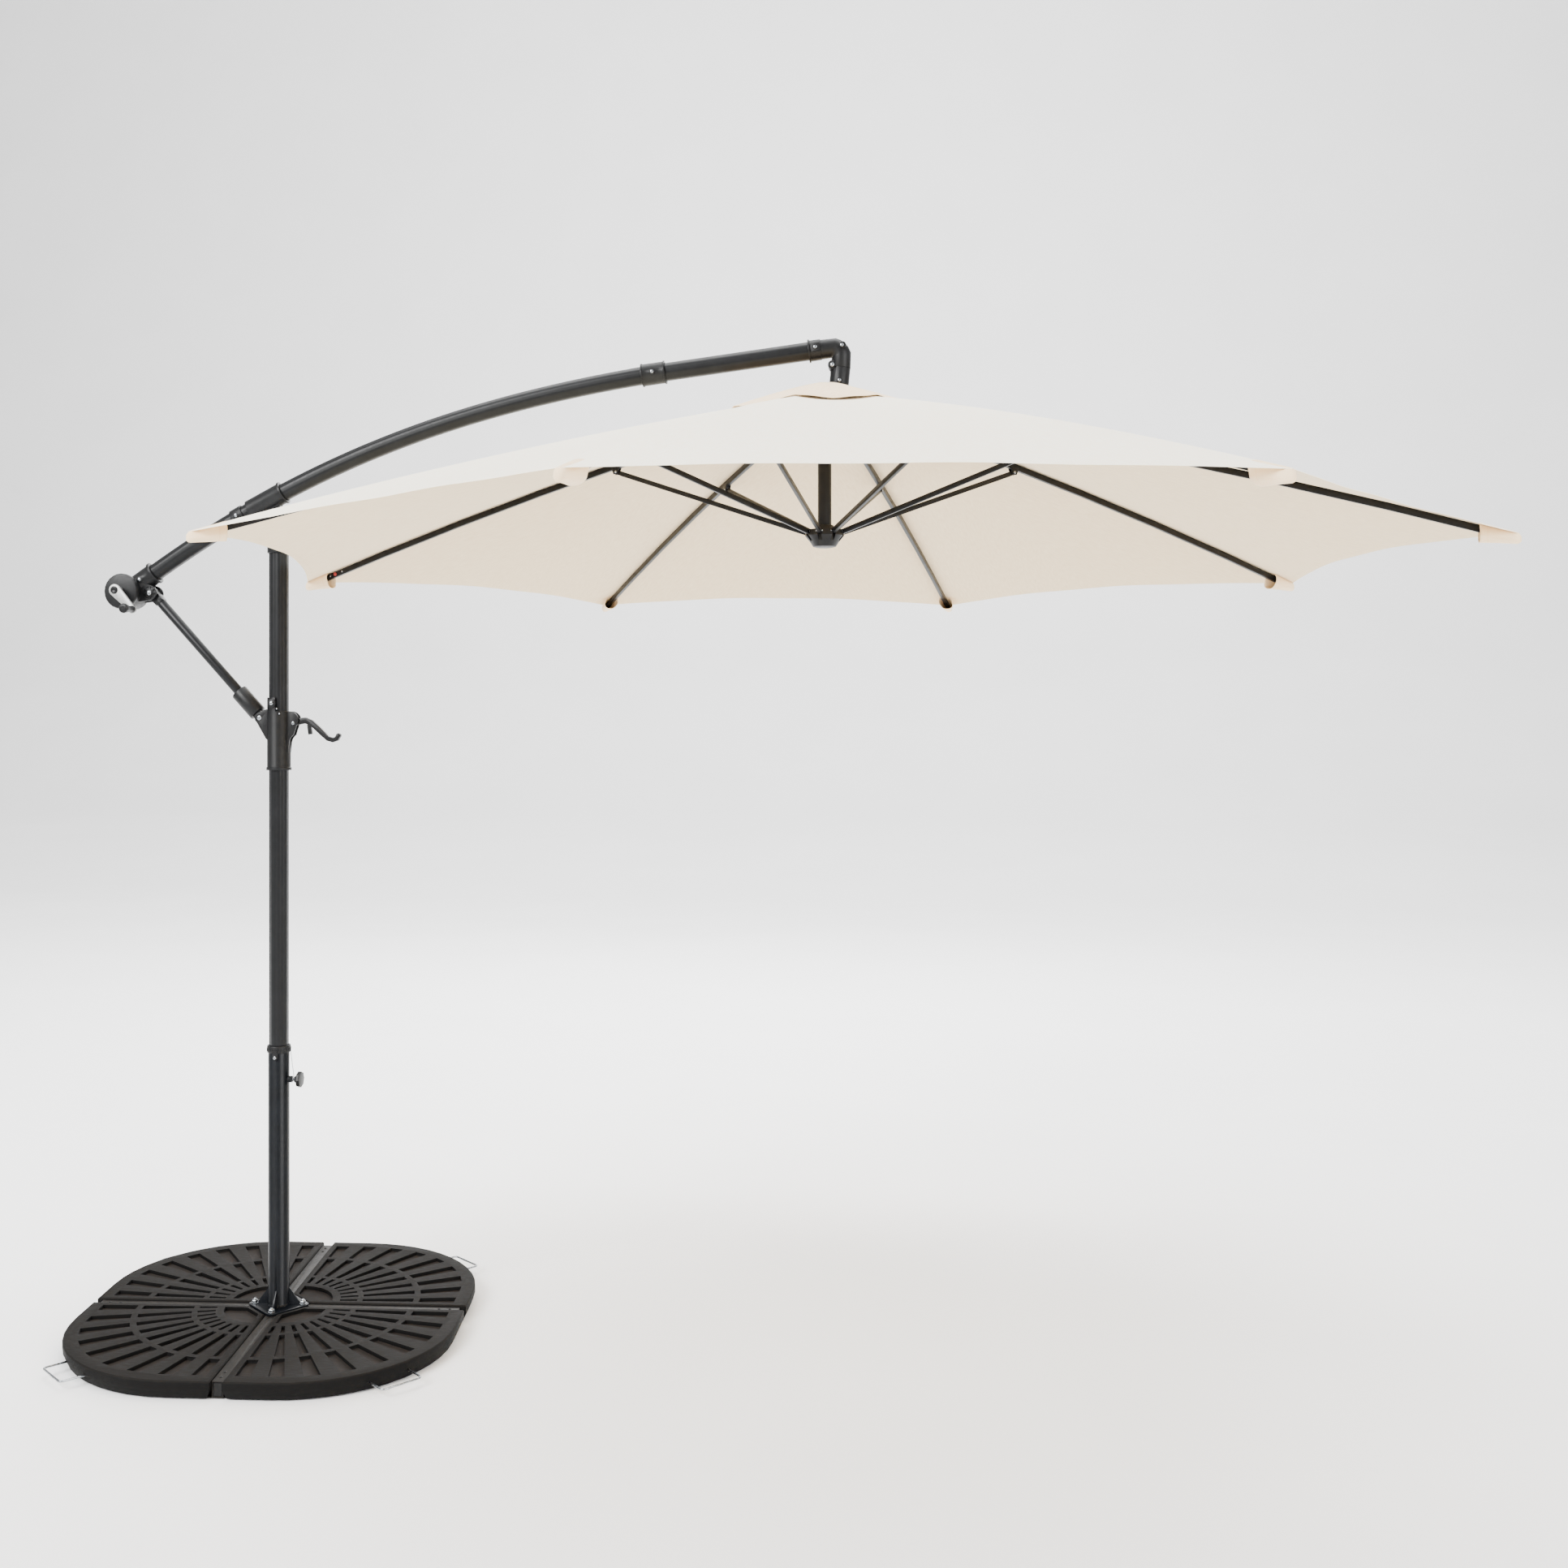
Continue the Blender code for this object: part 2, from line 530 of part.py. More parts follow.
def make_strut():
    """Tail strut: tube, lower socket with tongue, upper eye."""
    axis = TAIL_PIVOT - SLIDER_PIVOT
    length = axis.length
    axis.normalize()
    angle = atan2(axis.z, axis.x)
    base = SLIDER_PIVOT
    sleeve = turned([(0.0215, 0.016), (0.0215, 0.0165), (0.0222, 0.018), (0.0222, 0.090), (0.0212, 0.092),
                     (0.0128, 0.092), (0.0128, 0.030), (0, 0.030), (0, 0.016)][::-1], 20, base, axis)
    tongue = slab([arc((0, 0), 0.0120, radians(90), radians(270), 8) + [(0.020, -0.0120), (0.020, 0.0120)]],
                  0.0245, side_frame(base, angle))
    socket = cut(join(sleeve, tongue), rod(base - Vector((0, 0.03, 0)), base + Vector((0, 0.03, 0)), 0.0042, 14))
    part(socket, "strut_socket", PLASTIC, base)
    end = TAIL_PIVOT - axis * 0.0365
    shell = turned([(0.0125, length - 0.0365), (0.0125, 0.0305), (0.0110, 0.0305), (0.0110, length - 0.0365)],
                   20, base, axis)
    part(shell, "strut_tube", PAINT, base)
    eye = slab([arc((0, 0), 0.0138, radians(-80), radians(80), 10) + [(-0.026, 0.0120), (-0.034, 0.0116),
                                                                      (-0.034, -0.0116), (-0.026, -0.0120)]],
               0.0240, side_frame(TAIL_PIVOT, angle))
    neck = rod(TAIL_PIVOT - axis * 0.0362, TAIL_PIVOT - axis * 0.022, 0.0122, 16)
    plug = rod(end - axis * 0.020, TAIL_PIVOT - axis * 0.034, 0.0107, 14)
    eye = cut(join(eye, neck, plug), rod(TAIL_PIVOT - Vector((0, 0.03, 0)), TAIL_PIVOT + Vector((0, 0.03, 0)),
                                         0.0092, 16))
    part(eye, "strut_eye", PLASTIC, base)


# ---------------------------------------------------------------- arm

def arm_point(t):
    """A point and its direction angle on the curved rear arm, t from tail to coupling."""
    lead = Vector((cos(ARM_TAIL_ANGLE), 0, sin(ARM_TAIL_ANGLE))) * ARM_TAIL_HANDLE
    trail = Vector((cos(ARM_JOINT_ANGLE), 0, sin(ARM_JOINT_ANGLE))) * ARM_JOINT_HANDLE
    p = (ARM_TAIL, ARM_TAIL + lead, ARM_JOINT - trail, ARM_JOINT)
    s = 1 - t
    at = p[0] * s ** 3 + p[1] * 3 * s * s * t + p[2] * 3 * s * t * t + p[3] * t ** 3
    slope = (p[1] - p[0]) * s * s + (p[2] - p[1]) * 2 * s * t + (p[3] - p[2]) * t * t
    return at, atan2(slope.z, slope.x)


def arm_at_x(x):
    """The arm's centre and angle above a given x."""
    low, high = 0.0, 1.0
    for _ in range(40):
        middle = (low + high) / 2
        low, high = (middle, high) if arm_point(middle)[0].x < x else (low, middle)
    return arm_point(low)


def swept_tube(samples, outer, inner, sides):
    """A bent hollow tube through (point, angle) samples that lie in the XZ plane."""
    bm = bmesh.new()
    shells = []
    for radius in (outer, inner):
        loops = []
        for at, angle in samples:
            across = Vector((-sin(angle), 0, cos(angle)))
            loops.append([bm.verts.new(at + across * radius * cos(2 * pi * i / sides)
                                       + Vector((0, 1, 0)) * radius * sin(2 * pi * i / sides)) for i in range(sides)])
        shells.append(loops)
        for first, second in zip(loops, loops[1:]):
            for i in range(sides):
                bm.faces.new((first[i], first[(i + 1) % sides], second[(i + 1) % sides], second[i]))
    for end in (0, -1):
        outside, inside = shells[0][end], shells[1][end]
        for i in range(sides):
            bm.faces.new((outside[i], outside[(i + 1) % sides], inside[(i + 1) % sides], inside[i]))
    return from_bmesh(bm, "swept", None, CUTTERS)


def front_point(distance):
    """A point on the straight front arm, from the coupling."""
    return ARM_JOINT + Vector((cos(FRONT_ANGLE), 0, sin(FRONT_ANGLE))) * distance


def make_arm():
    """Curved rear tube, straight front tube, the coupling between them, pivot sleeve and stop collar."""
    rear = swept_tube([arm_point(i / 12) for i in range(13)], ARM_R, ARM_BORE, 14)
    part(rear, "arm_rear_tube", PAINT)
    start, end = front_point(0.001), front_point(0.424)
    front = swept_tube([(start, FRONT_ANGLE), (end, FRONT_ANGLE)], ARM_R, ARM_BORE, 18)
    part(front, "arm_front_tube", PAINT)

    bore = ARM_R + 0.0014
    along = Vector((cos(FRONT_ANGLE), 0, sin(FRONT_ANGLE)))
    body = turned([(0.0290, -0.0300), (0.0290, -0.0265), (0.0270, -0.0260), (0.0270, 0.0260), (0.0290, 0.0265),
                   (0.0290, 0.0300), (bore, 0.0300), (bore, -0.0300)][::-1], 20, ARM_JOINT, along)
    site = ARM_JOINT + Vector((0, -0.0282, 0))
    pad = rod(site + Vector((0, 0.004, 0)), site, 0.0070, 10)
    part(cut(join(body, pad), rod(ARM_JOINT - along * 0.04, ARM_JOINT + along * 0.04, bore, 20)), "arm_coupling",
         PLASTIC)

    at, angle = arm_at_x(-0.0325)
    along = Vector((cos(angle), 0, sin(angle)))
    curve = [arm_at_x(-0.0325 + d) for d in (-0.062, -0.031, 0, 0.031, 0.062)]
    outer = turned([(0.0262, 0.0520), (0.0298, 0.0515), (0.0298, 0.0465), (0.0272, 0.0460), (0.0272, -0.0500),
                    (0.0262, -0.0510), (0, -0.0510), (0, 0.0520)], 20, at, along)
    hub_angle = angle
    local = Matrix.Rotation(hub_angle, 4, "Y") @ (ARM_PIVOT - at)
    drop = -local.z
    outline = [(local.x - 0.034, -0.012), (local.x - 0.030, -0.030)]
    outline += arc((local.x, -drop), 0.0150, radians(200), radians(360), 6) + [(local.x + 0.020, -0.012)]
    lug = slab([outline], 0.0280, side_frame(at, hub_angle))
    fins = [slab([[(x - 0.0015, -0.012), (x - 0.0015, -0.0335), (x + 0.0015, -0.0335), (x + 0.0015, -0.012)]],
                 0.038, side_frame(at, hub_angle)) for x in (-0.036, -0.024, -0.012)]
    sleeve = cut(join(outer, lug, *fins), swept_solid(curve, bore, 18),
                 rod(ARM_PIVOT - Vector((0, 0.03, 0)), ARM_PIVOT + Vector((0, 0.03, 0)), 0.0053, 12))
    part(sleeve, "arm_pivot_sleeve", PLASTIC, ARM_PIVOT)

    at, angle = arm_at_x(-0.1060)
    along = Vector((cos(angle), 0, sin(angle)))
    collar = turned([(0.0262, 0.0160), (0.0262, -0.0160), (bore, -0.0160), (bore, 0.0160)],
                    28, at, along)
    site = at + Vector((0, -0.0275, 0))
    part(cut(join(collar, rod(site + Vector((0, 0.004, 0)), site, 0.0070, 10)),
             rod(at - along * 0.03, at + along * 0.03, bore, 20)), "arm_stop_collar", PLASTIC)


def make_crank_housing():
    """Housing on the arm's tail, its cover, the strut's upper bolt and the winding parts."""
    along = Vector((cos(ARM_TAIL_ANGLE), 0, sin(ARM_TAIL_ANGLE)))
    mouth = Vector((-0.340, 0, 0)) + Vector((0, 0, ARM_TAIL.z + 0.025 * sin(ARM_TAIL_ANGLE) / cos(ARM_TAIL_ANGLE)))
    socket = turned([(0.0275, 0.0), (0.0305, -0.001), (0.0305, -0.006), (0.0272, -0.007), (0.0272, -0.075),
                     (0, -0.075), (0, 0.0)], 20, mouth, along)
    drum = rod(CRANK_CENTRE + Vector((0, -0.0450, 0)), CRANK_CENTRE + Vector((0, 0.0250, 0)), 0.0430, 24)
    tx, tz = TAIL_PIVOT.x, TAIL_PIVOT.z
    cx, cz = CRANK_CENTRE.x, CRANK_CENTRE.z
    cheeks = []
    for side in (-1, 1):
        outline = hull([(round(x, 7), round(z, 7)) for x, z in
                        ring((tx, tz), 0.0195, 16) + ring((cx, cz + 0.004), 0.0340, 16)])
        cheeks.append(slab([outline], 0.0050, side_frame(y=side * 0.0180)))
    face = Vector((0, -0.0225, 0))
    boss = rod(TAIL_PIVOT + Vector((0, -0.018, 0)), TAIL_PIVOT + face, 0.0090, 14)
    site = mouth - along * 0.038 + Vector((0, -0.0280, 0))
    pad = rod(site + Vector((0, 0.006, 0)), site, 0.0085, 12)
    web = block((0.030, 0.034, 0.020), (tx - 0.016, 0, tz + 0.032), -ARM_TAIL_ANGLE)
    body = join(socket, drum, boss, pad, web, *cheeks)
    inside = rod(CRANK_CENTRE + Vector((0, -0.060, 0)), CRANK_CENTRE + Vector((0, 0.0210, 0)), 0.0390, 20)
    axle = rod(CRANK_CENTRE + Vector((0, 0, 0)), CRANK_CENTRE + Vector((0, 0.04, 0)), 0.0058, 10)
    bore = rod(mouth - along * 0.0305, mouth + along * 0.02, ARM_R + 0.0013, 18)
    throat = rod(mouth - along * 0.060, mouth - along * 0.02, 0.0070, 8)
    between = []
    outline = ring((tx, tz), 0.0198, 16)
    between.append(slab([outline], 0.0300, side_frame()))
    swing = TAIL_PIVOT - SLIDER_PIVOT
    swing_angle = atan2(swing.z, swing.x)
    for extra in (-0.35, -0.10, 0.12):
        lane = [(-0.060, -0.0175), (0.0, -0.0175), (0.0, 0.0175), (-0.060, 0.0175)]
        between.append(slab([lane], 0.0300, side_frame(TAIL_PIVOT, swing_angle + extra)))
    pin_hole = rod(TAIL_PIVOT - Vector((0, 0.05, 0)), TAIL_PIVOT + Vector((0, 0.05, 0)), 0.0042, 10)
    pockets = []
    for i in range(8):
        a = pi / 8 + i * pi / 4
        spoke = [(0.0112 * cos(a + d), 0.0112 * sin(a + d)) for d in (-0.24, 0.24)]
        spoke += [(0.0172 * cos(a + d), 0.0172 * sin(a + d)) for d in (0.28, -0.28)]
        pockets.append(slab([spoke], 0.0040, side_frame(TAIL_PIVOT, y=-0.0205)))
    body = cut(body, inside, axle, bore, throat, pin_hole, *between, *pockets)
    part(body, "crank_housing", PLASTIC)
    pin = turned([(0, 0.0255), (0.0055, 0.0250), (0.0070, 0.0236), (0.0070, 0.0228), (0.0039, 0.0228),
                  (0.0039, -0.0228), (0.0062, -0.0228), (0.0062, -0.0240), (0.0045, -0.0256), (0, -0.0260)],
                 16, TAIL_PIVOT, (0, 1, 0))
    part(pin, "strut_top_bolt", ZINC, TAIL_PIVOT)

    y0 = -0.0453
    cover = turned([(0.0460, -y0 - 0.006), (0.0460, -y0 + 0.003), (0.0440, -y0 + 0.0065), (0.0150, -y0 + 0.0080),
                    (0.0054, -y0 + 0.0080), (0.0054, -y0), (0.0433, -y0), (0.0433, -y0 - 0.006)][::-1], 24,
                   CRANK_CENTRE, (0, -1, 0))
    part(cover, "crank_cover", PLASTIC)
    spool = turned([(0.0330, 0.040), (0.0330, 0.037), (0.0180, 0.037), (0.0180, -0.015), (0.0330, -0.015),
                    (0.0330, -0.018), (0.0052, -0.018), (0.0052, -0.0235), (0, -0.0235), (0, 0.0725),
                    (0.0052, 0.0725), (0.0052, 0.040)], 16, CRANK_CENTRE, (0, -1, 0))
    part(spool, "winding_spool", PLASTIC, CRANK_CENTRE)


def make_crank():
    """Crank arm with the grip's axle, and the grip that turns on it."""
    at = CRANK_CENTRE + Vector((0, -0.0800, 0))
    reach = Vector((0.0500, 0, -0.0510))
    length = reach.length
    angle = atan2(reach.z, reach.x)
    outline = hull([(round(x, 7), round(z, 7)) for x, z in
                    ring((0, 0), 0.0150, 16) + ring((length, 0), 0.0085, 12)])
    arm = slab([outline], 0.0070, side_frame(at, angle))
    boss = rod(at + Vector((0, 0.0220, 0)), at + Vector((0, 0.0020, 0)), 0.0105, 14, 0.0130)
    end = at + reach
    axle = rod(end, end + Vector((0, -0.0470, 0)), 0.0033, 10)
    arm = cut(join(arm, boss, axle), rod(at + Vector((0, 0.03, 0)), at + Vector((0, 0.0070, 0)), 0.0055, 10))
    part(arm, "crank_arm", SILVER, CRANK_CENTRE)
    grip = turned([(0.0036, -0.0040), (0.0100, -0.0042), (0.0082, -0.0100), (0.0092, -0.0260), (0.0128, -0.0400),
                   (0.0124, -0.0500), (0.0085, -0.0535), (0, -0.0540), (0, -0.0474), (0.0036, -0.0474)][::-1],
                  14, end, (0, 1, 0))
    part(grip, "crank_grip", PLASTIC, end)


# ---------------------------------------------------------------- head

def make_head():
    """Elbow with its socket, the tilt knuckle below it, and the hinge bolt between them."""
    lean = Vector((sin(LEAN), 0, cos(LEAN)))
    split = KNUCKLE_BOTTOM + lean * (KNUCKLE_LENGTH + 0.0004)
    forward = Vector((cos(FRONT_ANGLE), 0, sin(FRONT_ANGLE)))
    rise = ((ARM_JOINT.z - split.z) + (split.x - ARM_JOINT.x) * forward.z / forward.x) / \
        (lean.z - lean.x * forward.z / forward.x)
    corner = split + lean * rise
    bend = 0.0262
    centre = corner - forward * bend - lean * bend
    samples = [(front_point(0.3865), FRONT_ANGLE), (front_point(0.395), FRONT_ANGLE)]
    first, last = FRONT_ANGLE + pi / 2, -LEAN
    skew = (pi / 2 - (first - last)) / 2
    for i in range(7):
        a = first + (last - first) * i / 6 + skew * (1 - i / 3)
        samples.append((centre + Vector((cos(a), 0, sin(a))) * bend, a - pi / 2))
    samples = [samples[0], samples[1]] + samples[3:-1] + [(split, -pi / 2 - LEAN)]
    elbow = swept_solid(samples, ELBOW_R, 18)
    flange = turned([(0.0285, 0.0), (0.0285, 0.0040), (0.0255, 0.0046), (0.0255, 0.0300), (0.0240, 0.0310),
                     (0, 0.0310), (0, 0.0)][::-1], 18, front_point(0.3860), forward)
    pads = []
    sites = [(front_point(0.4040), 0.0275), (corner - lean * 0.002 + forward * 0.0015, 0.0262)]
    pads.append(block((0.0210, 0.0300, 0.0190), sites[0][0] + Vector((0, -0.0125, 0.002)), -FRONT_ANGLE))
    pads.append(rod(sites[1][0], sites[1][0] + Vector((0, -sites[1][1], 0)), 0.0080, 12))
    hx, hz = TILT_PIVOT.x, TILT_PIVOT.z
    ears = [rod((hx, side * 0.0106, hz), (hx, side * 0.0170, hz), 0.0112, 14) for side in (-1, 1)]
    elbow = join(elbow, flange, *pads, *ears)
    slot = slab([ring((hx, hz), 0.0116, 14)], 0.0206, side_frame())
    pin_hole = rod((hx, -0.05, hz), (hx, 0.05, hz), 0.0034, 10)
    bore = rod(front_point(0.37), front_point(0.4250), ARM_R + 0.0006, 18)
    heads = [rod((hx, side * 0.0171, hz), (hx, side * 0.04, hz), 0.0063, 10) for side in (-1, 1)]
    part(cut(elbow, slot, pin_hole, bore, *heads), "arm_elbow", PLASTIC)

    top = KNUCKLE_BOTTOM + lean * KNUCKLE_LENGTH
    knuckle = rod(KNUCKLE_BOTTOM, top, 0.0240, 20)
    tongue = rod((hx, -0.0100, hz), (hx, 0.0100, hz), 0.0106, 14)
    link_body = block((0.020, 0.0200, 0.018), (hx + 0.0045, 0, hz - 0.0165))
    sides = [rod((hx, side * 0.0103, hz), (hx, side * 0.04, hz), 0.0118, 14) for side in (-1, 1)]
    lower = KNUCKLE_BOTTOM + lean * 0.0185 + Vector((0.0020, 0, 0))
    pad = rod(lower, lower + Vector((0, -0.0262, 0)), 0.0075, 10)
    knuckle = cut(join(cut(knuckle, *sides), tongue, link_body, pad),
                  rod((hx, -0.05, hz), (hx, 0.05, hz), 0.0034, 10))
    part(knuckle, "tilt_knuckle", PLASTIC, TILT_PIVOT)
    pin = turned([(0, 0.0200), (0.0042, 0.0196), (0.0056, 0.0184), (0.0056, 0.0174), (0.0031, 0.0174),
                  (0.0031, -0.0174), (0.0056, -0.0174), (0.0056, -0.0184), (0.0042, -0.0196), (0, -0.0200)],
                 14, TILT_PIVOT, (0, 1, 0))
    part(pin, "tilt_hinge_bolt", ZINC, TILT_PIVOT)


def swept_solid(samples, radius, sides):
    """A bent round bar through (point, angle) samples in the XZ plane."""
    bm = bmesh.new()
    loops = []
    for at, angle in samples:
        across = Vector((-sin(angle), 0, cos(angle)))
        loops.append([bm.verts.new(at + across * radius * cos(2 * pi * i / sides)
                                   + Vector((0, 1, 0)) * radius * sin(2 * pi * i / sides)) for i in range(sides)])
    for first, second in zip(loops, loops[1:]):
        for i in range(sides):
            bm.faces.new((first[i], first[(i + 1) % sides], second[(i + 1) % sides], second[i]))
    bm.faces.new(loops[0][::-1])
    bm.faces.new(loops[-1])
    return from_bmesh(bm, "swept", None, CUTTERS)


# ---------------------------------------------------------------- canopy

def rib_line(rho):
    """Height of a rib's middle at a distance from the canopy's axis."""
    share = (rho - CROWN_R) / (RIB_END - CROWN_R)
    end = TIP_Z - RIB_DROP
    return CROWN_Z + (end - CROWN_Z) * share + 4 * RIB_BOW * share * (1 - share)


def rib_angle(k):
    """Direction of rib k from the canopy's axis."""
    return radians(22.5) + k * 2 * pi / RIBS + CANOPY_YAW


def make_crown():
    """Top hub with its cover plate, the post, and the sliding runner with its tube."""
    centre = Vector((CANOPY_X, 0, 0))
    crown = turned([(0.034, 2.3440), (0.060, 2.3380), (0.060, 2.3220), (0.040, 2.3160), (0.0139, 2.3160),
                    (0.0139, 2.3400), (0, 2.3400), (0, 2.3440)], 24, centre)
    runner = turned([(0.0210, 2.0290), (0.0225, 2.0270), (0.0225, 2.0200), (0.0475, 2.0170), (0.0475, 2.0030),
                     (0.0350, 1.9880), (0.0280, 1.9770), (0.0200, 1.9750), (0, 1.9750), (0, 1.9800),
                     (0.0166 + GAP, 1.9800), (0.0166 + GAP, 2.0290)], 24, centre)
    crown_slots, runner_slots = [], []
    for k in range(RIBS):
        a = rib_angle(k)
        out = Vector((cos(a), sin(a), 0))
        crown_slots.append(block((0.060, 0.0106, 0.060), centre + out * 0.0675 + Vector((0, 0, 2.330)), a, "Z"))
        runner_slots.append(block((0.060, 0.0096, 0.080), centre + out * 0.0660 + Vector((0, 0, 2.005)), a, "Z"))
    part(cut(crown, *crown_slots), "crown_hub", PLASTIC)
    part(cut(runner, *runner_slots), "runner_hub", PLASTIC)
    cover = turned([(0.062, 2.3572), (0.062, 2.3545), (0.0335, 2.3535), (0.0335, 2.3443), (0, 2.3443),
                    (0, 2.3572)], 24, centre)
    part(cover, "crown_cover", PLASTIC)
    post = turned([(0.0135, 2.3395), (0.0135, 2.0000), (0.0120, 2.0000), (0.0120, 2.3395)], 16, centre)
    part(post, "canopy_post", PAINT)
    shell = turned([(0.0166, 2.3000), (0.0166, 1.9803), (0.0142, 1.9803), (0.0142, 2.3000)], 18, centre)
    part(shell, "runner_tube", PAINT)


def make_ribs():
    """Eight ribs with strut brackets, and eight struts."""
    slope = atan2(CROWN_Z - (TIP_Z - RIB_DROP), RIB_END - CROWN_R)
    steps = 6
    for k in range(RIBS):
        a = rib_angle(k)
        out = Vector((cos(a), sin(a), 0))
        side = Vector((-sin(a), cos(a), 0))
        centre = Vector((CANOPY_X, 0, 0))
        frame = Matrix.Translation(centre) @ Matrix.Rotation(a, 4, "Z") @ Matrix.Rotation(pi / 2, 4, "X")
        stations = [CROWN_R + (RIB_END - CROWN_R) * i / steps for i in range(steps + 1)]
        top = [(rho, rib_line(rho) + RIB_HALF_H) for rho in stations]
        bottom = [(rho, rib_line(rho) - RIB_HALF_H) for rho in stations]
        nose = arc((CROWN_R, CROWN_Z), RIB_HALF_H, radians(115), radians(245), 4)
        rib = slab([nose + bottom[1:] + top[:0:-1]], 2 * RIB_HALF_W, frame)
        joint_rho = CROWN_R + STRUT_ON_RIB * cos(slope) - STRUT_BELOW * sin(slope) * 0.1
        joint_z = rib_line(joint_rho) - STRUT_BELOW
        bracket = [slab([[(joint_rho - 0.012, joint_z + 0.014), (joint_rho - 0.006, joint_z - 0.006),
                          (joint_rho + 0.006, joint_z - 0.006), (joint_rho + 0.012, joint_z + 0.010)]], 0.0025,
                        Matrix.Translation(side * s * 0.0058) @ frame) for s in (-1, 1)]
        rib = join(rib, *bracket)
        hinge = centre + out * CROWN_R + Vector((0, 0, CROWN_Z))
        part(rib, "rib_%d" % (k + 1), PAINT, hinge)

        reach = hypot(joint_rho - RUNNER_R, joint_z - RUNNER_Z)
        angle = atan2(RUNNER_Z - joint_z, RUNNER_R - joint_rho)
        turn = Matrix.Translation((joint_rho, joint_z, 0)) @ Matrix.Rotation(angle, 4, "Z")
        near = arc((0, 0), 0.0045, radians(90), radians(270), 4)
        far = arc((reach, 0), 0.0060, radians(-90), radians(90), 4)
        bar = near + [(0.016, -0.0060)] + far + [(0.016, 0.0060)]
        strut = slab([bar], 0.0080, frame @ turn)
        pivot = centre + out * joint_rho + Vector((0, 0, joint_z))
        part(strut, "strut_%d" % (k + 1), PAINT, pivot)


def hem_share(s):
    """How far in the hem is drawn, at s across a gore, as a share of the radius."""
    return 1 - SCALLOP * 4 * s * (1 - s) / (TIP_R * cos(pi / RIBS))


def cloth(inner, outer, height, across, along, scallop, thickness, name):
    """An eight-gore shell of cloth: an open surface with Solidify."""
    bm = bmesh.new()
    rings = []
    for j in range(along + 1):
        t = j / along
        row = []
        for k in range(RIBS):
            a, b = rib_angle(k), rib_angle(k + 1)
            for i in range(across):
                s = i / across
                share = 1 - (1 - hem_share(s)) * t * scallop
                rho = inner + (outer - inner) * t
                x = (cos(a) * (1 - s) + cos(b) * s) * rho * share
                y = (sin(a) * (1 - s) + sin(b) * s) * rho * share
                z = height(rho * share) - SAG * scallop * 4 * s * (1 - s) * sin(pi * (0.15 + 0.75 * t))
                row.append(bm.verts.new((CANOPY_X + x, y, z)))
        rings.append(row)
    count = RIBS * across
    for first, second in zip(rings, rings[1:]):
        for i in range(count):
            bm.faces.new((first[i], second[i], second[(i + 1) % count], first[(i + 1) % count]))
    obj = from_bmesh(bm, name, None, CUTTERS)
    shell = obj.modifiers.new("cloth", "SOLIDIFY")
    shell.thickness = thickness
    shell.offset = 1
    return part(baked(obj), name, IVORY)


def make_cloth():
    """The eight-gore canopy and the vent cap over its middle."""
    cloth(0.100, TIP_R, lambda rho: rib_line(rho) + RIB_HALF_H + 0.0028, 4, 5, 1.0, 0.0012, "canopy")

    def vent_height(rho):
        share = (rho - VENT_HOLE_R) / (VENT_R - VENT_HOLE_R)
        return 2.3518 + (2.3110 - 2.3518) * share
    cloth(VENT_HOLE_R, VENT_R, vent_height, 2, 2, 0.0, 0.0012, "vent_cap")


def main():
    """Build every piece."""
    make_plates()
    make_cross()
    make_pole()
    make_collar_and_lock()
    make_mast()
    make_mast_top()
    make_slider()
    make_lever()
    make_strut()
    make_arm()
    make_crank_housing()
    make_crank()
    make_head()
    make_crown()
    make_ribs()
    make_cloth()
    bpy.context.view_layer.update()


main()
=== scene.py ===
"""Looks of a cantilever patio umbrella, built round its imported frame.

Everything is in metres in the frame's own axes: the mast stands on the origin, +X runs along the arm to
the canopy and +Z is up. The canopy is cut into eight pieces, each centred on a rib, so that it can fold.
"""
import logging
from dataclasses import dataclass, field
from enum import Enum
from math import cos, pi, radians, sin, tan
from typing import Any, Callable, Iterable, Sequence

import bmesh
import bpy
from mathutils import Matrix, Vector


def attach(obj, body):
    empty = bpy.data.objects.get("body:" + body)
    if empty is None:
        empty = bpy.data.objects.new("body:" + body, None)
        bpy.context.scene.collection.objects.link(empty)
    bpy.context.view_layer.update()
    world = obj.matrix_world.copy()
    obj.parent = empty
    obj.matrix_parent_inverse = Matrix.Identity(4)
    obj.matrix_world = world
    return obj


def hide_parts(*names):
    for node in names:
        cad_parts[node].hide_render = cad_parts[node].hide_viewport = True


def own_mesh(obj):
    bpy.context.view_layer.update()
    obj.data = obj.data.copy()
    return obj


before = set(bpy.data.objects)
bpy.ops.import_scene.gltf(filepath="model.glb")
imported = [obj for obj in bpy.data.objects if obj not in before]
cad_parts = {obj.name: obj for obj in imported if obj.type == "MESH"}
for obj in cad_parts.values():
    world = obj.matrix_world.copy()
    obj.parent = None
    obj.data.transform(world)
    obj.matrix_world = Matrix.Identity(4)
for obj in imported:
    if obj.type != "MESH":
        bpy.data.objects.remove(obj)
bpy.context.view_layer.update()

LOG = logging.getLogger("patio_umbrella")
MM = 0.001
UP = Vector((0, 0, 1))
TO_CRANK_SIDE = Vector((0, -1, 0))

Point = tuple[float, float]
Socket = bpy.types.NodeSocket
Tree = bpy.types.NodeTree


# ---------------------------------------------------------------- colours and nodes


def linear(code: str) -> tuple[float, float, float, float]:
    """Turn an sRGB hex value into a linear colour.

    Args:
        code: six hex digits, such as "F4F0E6".

    Returns:
        Linear red, green, blue and an alpha of one.
    """
    parts = [int(code[i:i + 2], 16) / 255 for i in (0, 2, 4)]
    red, green, blue = (c / 12.92 if c <= 0.04045 else ((c + 0.055) / 1.055) ** 2.4 for c in parts)
    return red, green, blue, 1.0


